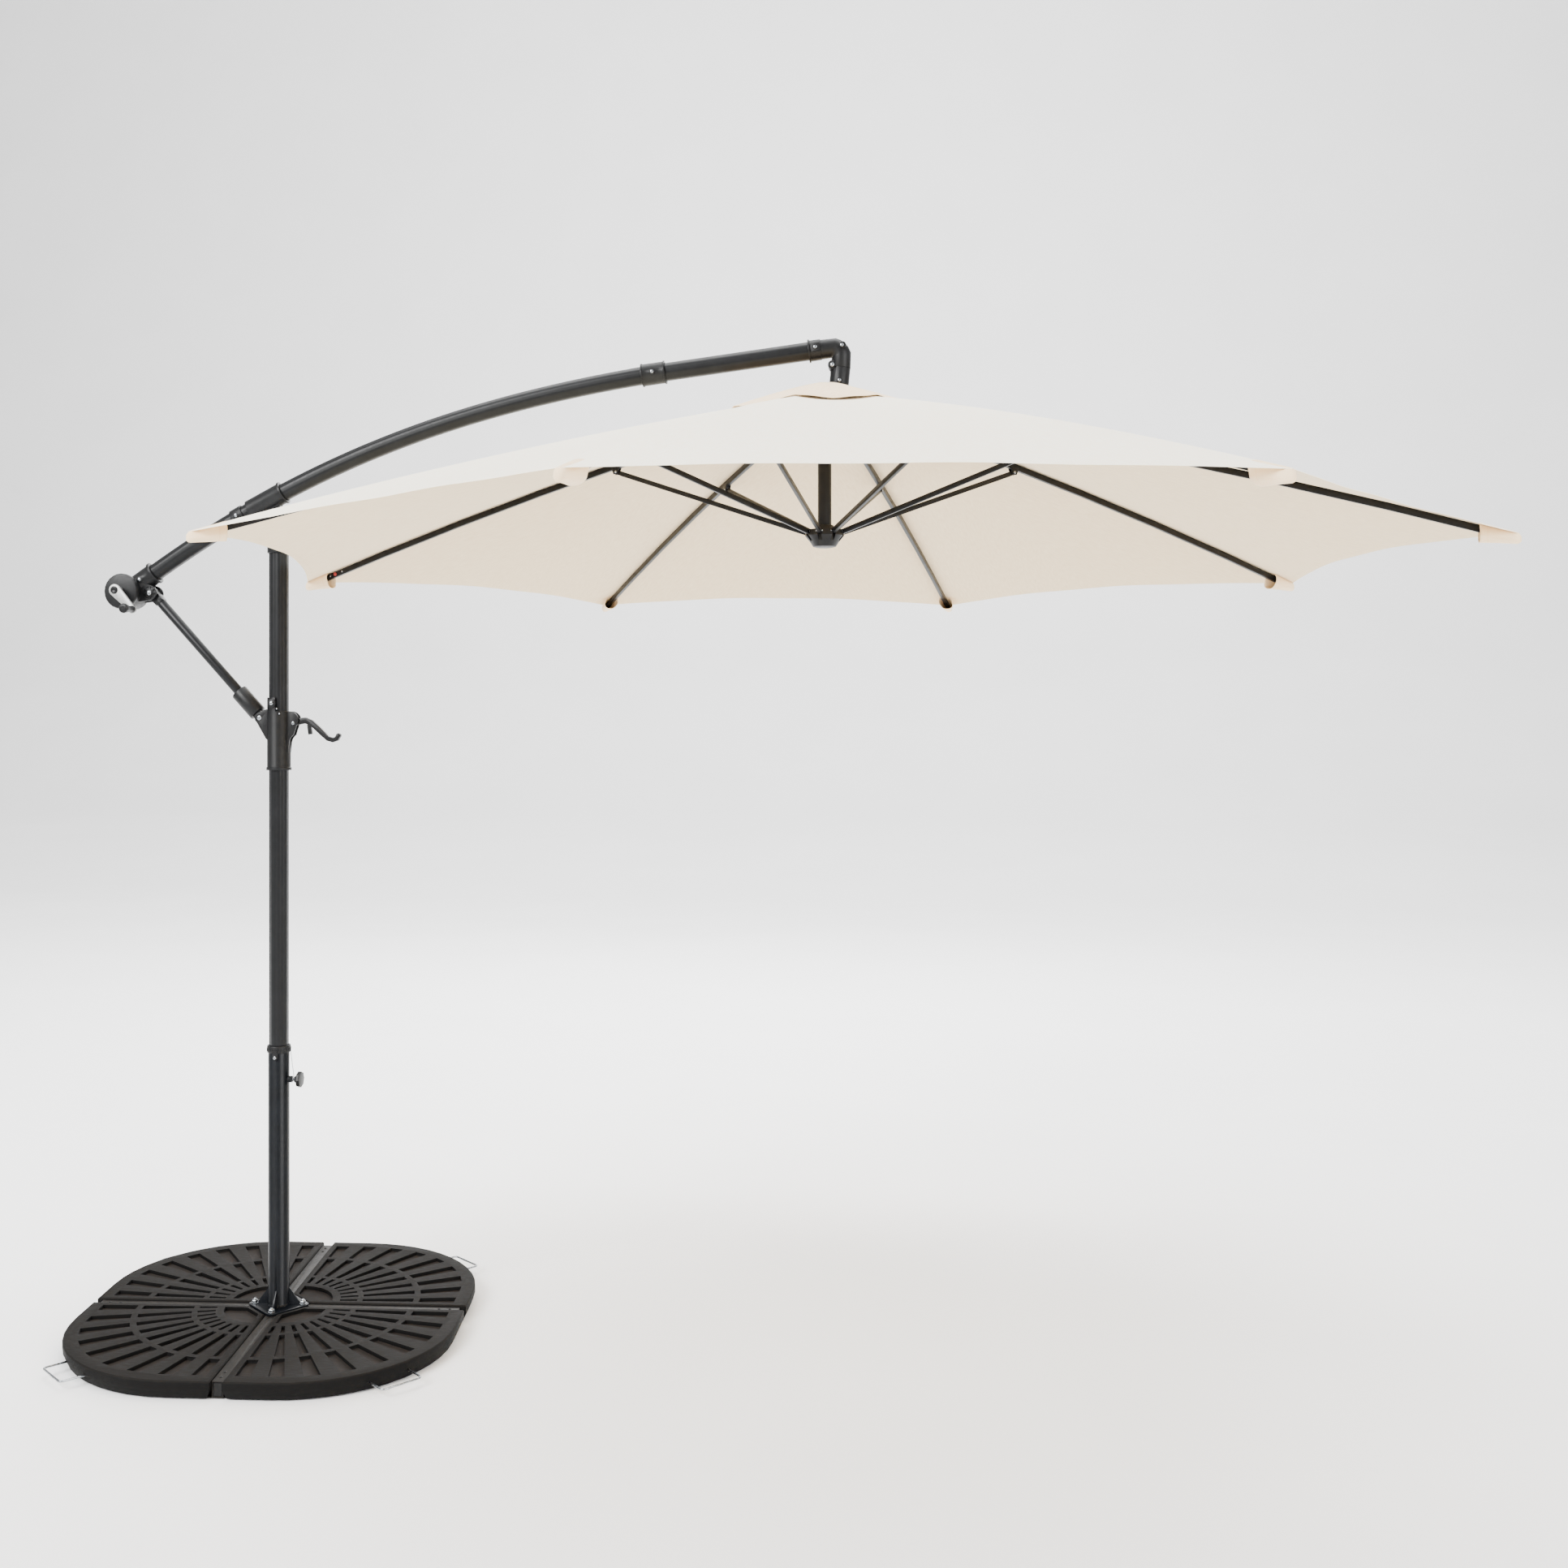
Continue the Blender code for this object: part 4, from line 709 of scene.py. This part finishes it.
@dataclass
class CrankDetails:
    """Dark cap on the crank's hub, and the ribbed grip."""

    hub: tuple[float, float, float] = (-0.412, -0.0835, 1.889)
    grip_end: tuple[float, float, float] = (-0.362, -0.1336, 1.838)

    def build(self) -> None:
        """Make the hub's cap and the grip."""
        cap = Shape.empty()
        cap.lathe([(0.0098, -0.0006), (0.0098, 0.0010), (0.0086, 0.0022), (0.0060, 0.0028), (0.0052, 0.0024),
                   (0, 0.0023)], 36, Vector(self.hub), TO_CRANK_SIDE)
        cap.piece("crank_hub_cap", "crank", Finish.GRIP)
        grip = Shape.empty()
        x, y, z = self.grip_end
        profile = [(0.0062, 0.0496), (0.0094, 0.0490), (0.0098, 0.0470), (0.0084, 0.0420), (0.0080, 0.0370),
                   (0.0086, 0.0280), (0.0100, 0.0190), (0.0119, 0.0110), (0.0126, 0.0060), (0.0121, 0.0026),
                   (0.0100, 0.0006), (0.0060, 0.0), (0.0050, 0.0008), (0, 0.0008)]
        grip.lathe(profile[::-1], 40, Vector((x, y, z)), Vector((0, 1, 0)),
                   lambda a, h: 1 - (0.035 * (0.5 + 0.5 * cos(10 * a)) if 0.004 < h < 0.03 else 0))
        made = grip.piece("crank_grip_moulded", "grip", Finish.GRIP)
        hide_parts("crank_grip")


# ---------------------------------------------------------------- canopy


@dataclass
class CanopyForm:
    """The canopy's own sizes, shared by its cloth, its pockets and its rib hardware."""

    centre_x: float = 1.405
    yaw: float = radians(9.5)
    ribs: int = 8
    tip_radius: float = 1.5
    tip_height: float = 1.944
    rib_end: float = 1.493
    rib_bow: float = 0.020
    rib_drop: float = 0.0120
    crown: Point = (0.050, 2.330)
    cloth_above_rib: float = 0.0108
    scallop: float = 0.066
    sag: float = 0.012
    strut_joint: Point = (0.5547, 2.1930)
    runner: Point = (0.045, 2.012)

    def angle(self, k: int) -> float:
        """Direction of rib k."""
        return radians(22.5) + k * 2 * pi / self.ribs + self.yaw

    def out(self, k: int) -> Vector:
        """Unit vector along rib k, from above."""
        return Vector((cos(self.angle(k)), sin(self.angle(k)), 0))

    def side(self, k: int) -> Vector:
        """Unit vector across rib k."""
        return Vector((-sin(self.angle(k)), cos(self.angle(k)), 0))

    def axis_at(self, height: float) -> Vector:
        """A point on the canopy's axis."""
        return Vector((self.centre_x, 0, height))

    def rib_line(self, rho: float) -> float:
        """Height of a rib's middle at a distance from the axis."""
        start_r, start_z = self.crown
        share = (rho - start_r) / (self.rib_end - start_r)
        end = self.tip_height - self.rib_drop
        return start_z + (end - start_z) * share + 4 * self.rib_bow * share * (1 - share)

    def rib_point(self, k: int, rho: float, across: float = 0.0, up: float = 0.0) -> Vector:
        """A point beside the middle of rib k."""
        return self.axis_at(self.rib_line(rho) + up) + self.out(k) * rho + self.side(k) * across

    def body(self, k: int) -> str:
        """The CAD body of rib k."""
        return f"canopy_rib_{k + 1}"


class Sheet:
    """One sewn piece of fabric round a rib, with a face, an underside, an edge and its cut in metres."""

    def __init__(self, form: CanopyForm, rows: int, half_columns: int, thickness: float) -> None:
        """Set the grid's size and the fabric's thickness."""
        self.form = form
        self.rows = rows
        self.columns = 2 * half_columns + 1
        self.ws = [i / half_columns - 1 for i in range(self.columns)]
        self.thickness = thickness

    def corner(self, row: int, column: int) -> int:
        """Number of a grid point."""
        return row * self.columns + column

    def build(self, name: str, k: int, surface: Callable[[int, float, float], Vector], ease: float,
              *finishes: Finish) -> tuple[bpy.types.Object, float, float]:
        """Make the piece round rib k.

        Args:
            name: the piece's name.
            k: the rib.
            surface: gives a point from the rib, across (-1 to 1) and along (0 to 1).
            ease: under 1 puts the rows closer together at the hem.
            finishes: the face's and the underside's.

        Returns:
            The object, one side's area and the cut's length along the rib.
        """
        ts = [(j / self.rows) ** ease for j in range(self.rows + 1)]
        under = [surface(k, w, t) for t in ts for w in self.ws]
        normals = [self.normal(surface, k, w, t) for t in ts for w in self.ws]
        grid = len(under)
        points = [p + n * self.thickness for p, n in zip(under, normals)] + under
        quads = [[self.corner(j, i), self.corner(j + 1, i), self.corner(j + 1, i + 1), self.corner(j, i + 1)]
                 for j in range(self.rows) for i in range(self.columns - 1)]
        last, wide = self.rows, self.columns
        rim = [self.corner(0, i) for i in range(wide)]
        rim += [self.corner(j, wide - 1) for j in range(1, last + 1)]
        rim += [self.corner(last, i) for i in range(wide - 2, -1, -1)]
        rim += [self.corner(j, 0) for j in range(last - 1, 0, -1)]
        edge = [[a, b, b + grid, a + grid] for a, b in zip(rim, rim[1:] + rim[:1])]
        faces = quads + [[c + grid for c in q][::-1] for q in quads] + edge
        obj = make(name, points, faces, self.form.body(k), *finishes, sharp=180)
        mesh = obj.data
        for polygon in mesh.polygons[len(quads):2 * len(quads)]:
            polygon.material_index = 1
        area = sum(p.area for p in mesh.polygons[len(quads):2 * len(quads)])
        length = (under[-1 - wide // 2] - under[wide // 2]).length
        layer = mesh.uv_layers.new(name="cut")
        shading = []
        for polygon in mesh.polygons:
            for index in polygon.loop_indices:
                vertex = mesh.loops[index].vertex_index
                at = mesh.vertices[vertex].co - self.form.axis_at(0)
                layer.data[index].uv = (at.dot(self.form.side(k)), (1 - ts[vertex % grid // wide]) * length)
                on_edge = polygon.index >= 2 * len(quads)
                facing = normals[vertex % grid] * (1 if vertex < grid else -1)
                shading.append(tuple(polygon.normal if on_edge else facing))
        mesh.normals_split_custom_set(shading)
        return obj, area, length

    @staticmethod
    def normal(surface: Callable[[int, float, float], Vector], k: int, w: float, t: float) -> Vector:
        """Upward direction square to the whole surface, so that neighbours match along their seam."""
        step = 0.02
        along = surface(k, w, min(t + step, 1)) - surface(k, w, max(t - step, 0))
        across = surface(k, w + step, t) - surface(k, w - step, t)
        found = along.cross(across).normalized()
        return found if found.z > 0 else -found


def bay_of(k: int, w: float) -> tuple[int, float]:
    """The rib before a point and its share of the way to the next, from the rib k and -1 to 1 across it."""
    return (k, w / 2) if w >= 0 else (k - 1, 1 + w / 2)


@dataclass
class CanopyCloth:
    """Eight pieces of one continuous canopy, each from mid-gore to mid-gore with its rib in the middle."""

    form: CanopyForm
    inner: float = 0.100
    half_columns: int = 14
    rows: int = 40
    thickness: float = 0.9 * MM
    folded_share: float = 0.11
    ripple: float = 1.1 * MM
    row_ease: float = 0.9

    def surface(self, k: int, w: float, t: float) -> Vector:
        """A point on the cloth.

        Args:
            k: the rib.
            w: -1 at the gore's middle before the rib, 0 on it, 1 at the gore's middle after it.
            t: 0 at the vent's hole, 1 at the hem.

        Returns:
            The point in the frame's axes.
        """
        form = self.form
        first, s = bay_of(k, w)
        a, b = form.angle(first), form.angle(first + 1)
        bay = 4 * s * (1 - s)
        share = 1 - form.scallop * bay * t / (form.tip_radius * cos(pi / form.ribs))
        rho = self.inner + (form.tip_radius - self.inner) * t
        x = (cos(a) * (1 - s) + cos(b) * s) * rho * share
        y = (sin(a) * (1 - s) + sin(b) * s) * rho * share
        drop = form.sag * bay * sin(pi * (0.15 + 0.75 * t))
        flutter = self.ripple * bay * t ** 6 * sin(2 * pi * (3 * s + 0.31 * (first % form.ribs)))
        height = form.rib_line(rho * share) + form.cloth_above_rib - drop + flutter
        return form.axis_at(height) + Vector((x, y, 0))

    def build(self) -> None:
        """Make all eight pieces, which together stand for the CAD canopy."""
        form = self.form
        sewn = Sheet(form, self.rows, self.half_columns, self.thickness)
        for k in range(form.ribs):
            obj, area, length = sewn.build(f"canopy_piece_{k + 1}", k, self.surface, self.row_ease,
                                           Finish.IVORY, Finish.PAINTED_UNDERSIDE_SHADE_AND_GLOW)
            tuple(form.side(k))
            tuple(form.rib_point(k, 0.8))
            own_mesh(obj)
            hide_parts("canopy")


@dataclass
class VentCap:
    """The vent over the canopy's middle, with a loose wavy hem, in eight pieces that fold with the ribs."""

    form: CanopyForm
    inner: float = 0.034
    outer: float = 0.247
    top: float = 2.3720
    bottom: float = 2.3008
    half_columns: int = 12
    rows: int = 16
    thickness: float = 1.0 * MM
    sag: float = 8.0 * MM
    flare: float = 9.0 * MM
    flutter: float = 1.6 * MM
    folded_share: float = 0.12

    def surface(self, k: int, w: float, t: float) -> Vector:
        """A point on the vent: held up by the ribs, with a sag and a longer, fluttering hem between them."""
        form = self.form
        first, s = bay_of(k, w)
        a, b = form.angle(first), form.angle(first + 1)
        bay = 4 * s * (1 - s)
        wave = sin(2 * pi * (2 * s + 0.37 * (first % form.ribs)))
        rho = self.inner + (self.outer - self.inner) * t + self.flare * bay * t ** 4
        x = (cos(a) * (1 - s) + cos(b) * s) * rho
        y = (sin(a) * (1 - s) + sin(b) * s) * rho
        height = self.top + (self.bottom - self.top) * t ** 1.12 - self.sag * bay ** 1.5 * t ** 1.8
        height += self.flutter * bay * t ** 4 * wave
        return form.axis_at(height) + Vector((x, y, 0))

    def build(self) -> None:
        """Make the vent's eight pieces."""
        form = self.form
        sewn = Sheet(form, self.rows, self.half_columns, self.thickness)
        for k in range(form.ribs):
            obj, area, length = sewn.build(f"vent_piece_{k + 1}", k, self.surface, 1.0,
                                           Finish.PEACH, Finish.PEACH)
            tuple(form.side(k))
            tuple(form.rib_point(k, 0.15))
            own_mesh(obj)
            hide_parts("vent_cap")


@dataclass
class TipPocket:
    """The doubled pocket that the cloth has at each rib's tip: a creased sleeve, open towards the hub."""

    form: CanopyForm
    back: float = 1.424
    front: float = 1.5035
    sides: int = 40
    rows: int = 18
    girth: float = 0.12
    hem_from_edge: float = 4 * MM
    thickness: float = 0.9 * MM

    def section(self, u: float, k: int) -> list[Point]:
        """The sleeve's outline at a share of its length: a deep creased mouth that tapers to the hem."""
        half = 0.0125 + 0.0085 * (1 - u) - 0.004 * u ** 4
        above = self.form.cloth_above_rib + 0.0014
        below = -0.0110 - 0.0200 * (1 - u) ** 1.1
        middle, tall = (above + below) / 2, (above - below) / 2
        made = []
        for i in range(self.sides):
            a = 2 * pi * i / self.sides
            crease = 1 + 0.10 * abs(sin(2.5 * a + 1.3 * k + 2 * u)) * (0.25 + 0.75 * (1 - u))
            x = half * abs(cos(a)) ** 0.8 * (1 if cos(a) > 0 else -1)
            y = tall * abs(sin(a)) ** 0.9 * (1 if sin(a) > 0 else -1)
            lean = 0.22 * (middle + y - above) * (1 if k % 2 else -1)
            made.append((x * crease + lean * (1 - u), middle + y))
        return made

    def build(self) -> None:
        """Make the eight pockets, each of which moves with its rib."""
        form = self.form
        for k in range(form.ribs):
            points, faces = [], []
            for j in range(self.rows + 1):
                u = j / self.rows
                rho = self.back + (self.front - self.back) * u
                pull = 1.0 if u < 0.9 else 1 - 0.5 * ((u - 0.9) / 0.1) ** 2
                points += [form.rib_point(k, rho, x * pull, y * pull) for x, y in self.section(u, k)]
            n = self.sides
            for j in range(self.rows):
                faces += [[j * n + i, j * n + (i + 1) % n, (j + 1) * n + (i + 1) % n, (j + 1) * n + i]
                          for i in range(n)]
            faces.append([self.rows * n + i for i in range(n)])
            obj = make(f"tip_pocket_{k + 1}", points, faces, form.body(k), Finish.PEACH, sharp=60)
            layer = obj.data.uv_layers.new(name="cut")
            for loop in obj.data.loops:
                j, i = divmod(loop.vertex_index, n)
                along = j / self.rows * (self.front - self.back) + self.hem_from_edge
                layer.data[loop.index].uv = (i / n * self.girth, along)
            cloth = obj.modifiers.new("cloth", "SOLIDIFY")
            cloth.thickness = self.thickness
            cloth.offset = -1


@dataclass
class RibHardware:
    """Pins at both ends of each strut and at the rib's root, and one rib's release button."""

    form: CanopyForm
    button_rib: int = 3
    button_at: float = 1.405
    rib_face: float = 0.0049

    def build(self) -> None:
        """Make each rib's pins, the runner's pins and the button."""
        form = self.form
        runner_pins, crown_pins = Shape.empty(), Shape.empty()
        for k in range(form.ribs):
            side, out = form.side(k), form.out(k)
            joint_r, joint_z = form.strut_joint
            pins = Shape.empty()
            for way in (-1, 1):
                at = form.axis_at(joint_z) + out * joint_r + side * way * 0.0070
                socket_screw(pins, at, side * way, 0.0034, 0.0018)
            if k == self.button_rib:
                for rho in (self.button_at - 0.022, self.button_at + 0.016):
                    socket_screw(pins, form.rib_point(k, rho, self.rib_face), side, 0.0026, 0.0014)
                cap = Shape.empty()
                profile = [(0.0050, 0), (0.0050, 0.0016), (0.0042, 0.0026), (0.0020, 0.0029), (0, 0.0029)]
                cap.lathe(profile, 28, form.rib_point(k, self.button_at, self.rib_face), side)
                cap.piece("rib_release_button", form.body(k), Finish.BUTTON)
            pins.piece(f"rib_pins_{k + 1}", form.body(k), Finish.ZINC)
            runner_r, runner_z = form.runner
            ends = form.axis_at(runner_z) + out * runner_r
            runner_pins.lathe([(0.0022, -0.0088), (0.0022, 0.0088)], 12, ends, side)
            crown_r, crown_z = form.crown
            ends = form.axis_at(crown_z) + out * crown_r
            crown_pins.lathe([(0.0024, -0.0094), (0.0024, 0.0094)], 12, ends, side)
        runner_pins.piece("runner_pins", "runner", Finish.ZINC)
        crown_pins.piece("crown_pins", "head", Finish.ZINC)
        screws = Shape.empty()
        socket_screw(screws, Vector((1.4423, -0.0261, 2.3780)), TO_CRANK_SIDE, 0.0044, 0.0030)
        screws.piece("knuckle_screw", "head", Finish.ZINC)


# ---------------------------------------------------------------- studio


@dataclass
class Studio:
    """Pale floor, soft lights and the camera."""

    lens: float = 35.945
    shift: Point = (0.0797, -0.0368)
    place: tuple[float, float, float] = (1.604, -3.845, 1.538)
    turn: float = radians(9.0)

    def floor(self) -> None:
        """A plain floor that curves up far behind the umbrella."""
        depth = [(-14.0, 0.0), (10.0, 0.0), (14.0, 0.5), (17.0, 2.5), (18.5, 6.0), (19.0, 14.0)]
        points = [Vector((x, y, z - 0.0005)) for y, z in depth for x in (-22.0, 24.0)]
        faces = [[2 * i, 2 * i + 1, 2 * i + 3, 2 * i + 2] for i in range(len(depth) - 1)]
        mesh = bpy.data.meshes.new("studio_floor")
        mesh.from_pydata([tuple(p) for p in points], [], faces)
        mesh.shade_smooth()
        made, shader = start("matt_white_paper", Roughness=0.95, IOR=1.4)
        tree = made.node_tree
        paper = ramp(tree, noise(tree, 0.9), ((0.3, "F8F8F8"), (0.7, "FCFCFC")))
        tree.links.new(paper, shader.inputs["Base Color"])
        mesh.materials.append(made)
        floor = bpy.data.objects.new("studio_floor", mesh)
        bpy.context.scene.collection.objects.link(floor)

    def lamp(self, name: str, at: Sequence[float], aim: Sequence[float], size: float, power: float) -> None:
        """Add one square soft box."""
        data = bpy.data.lights.new(name, "AREA")
        data.size = size
        data.energy = power
        lamp = bpy.data.objects.new(name, data)
        lamp.location = at
        lamp.rotation_euler = (Vector(aim) - Vector(at)).to_track_quat("-Z", "Y").to_euler()
        bpy.context.scene.collection.objects.link(lamp)

    def build(self) -> None:
        """Set the floor, the lights, the surroundings and the camera."""
        self.floor()
        self.lamp("key", (-3.0, -5.4, 5.2), (1.1, 0, 1.7), 3.6, 1150)
        self.lamp("fill", (6.2, -4.2, 3.0), (1.0, 0, 1.3), 4.0, 420)
        self.lamp("rim", (0.5, 5.8, 4.6), (0.9, 0, 1.6), 3.5, 300)
        self.lamp("overhead", (1.0, 0.5, 8.0), (1.0, 0.5, 0), 7.0, 700)
        self.lamp("backdrop", (1.0, 3.0, 11.0), (1.0, 19.0, 4.0), 9.0, 4200)
        world = bpy.data.worlds.new("studio_air")
        bpy.context.scene.world = world
        world.use_nodes = True
        world.node_tree.nodes["Background"].inputs["Color"].default_value = linear("FFFFFF")
        world.node_tree.nodes["Background"].inputs["Strength"].default_value = 0.9
        data = bpy.data.cameras.new("camera")
        data.sensor_width = 36.0
        data.lens = self.lens
        data.shift_x, data.shift_y = self.shift
        camera = bpy.data.objects.new("camera", data)
        camera.location = self.place
        camera.rotation_euler = (pi / 2, 0, self.turn)
        bpy.context.scene.collection.objects.link(camera)
        bpy.context.scene.camera = camera


# ---------------------------------------------------------------- all of it


def main() -> None:
    """Build every piece in order and report each."""
    logging.basicConfig(level=logging.INFO, format="%(message)s")
    LOG.info("dressed %d CAD nodes", CadFinishes().dress())
    form = CanopyForm()
    stand = (BaseDetails(), MastDetails(), ArmDetails(), CrankDetails())
    top = (CanopyCloth(form), VentCap(form), TipPocket(form), RibHardware(form))
    for sub_assembly in (*stand, *top, Studio()):
        sub_assembly.build()
        LOG.info("built %s", type(sub_assembly).__name__)


if __name__ == "__main__":
    main()
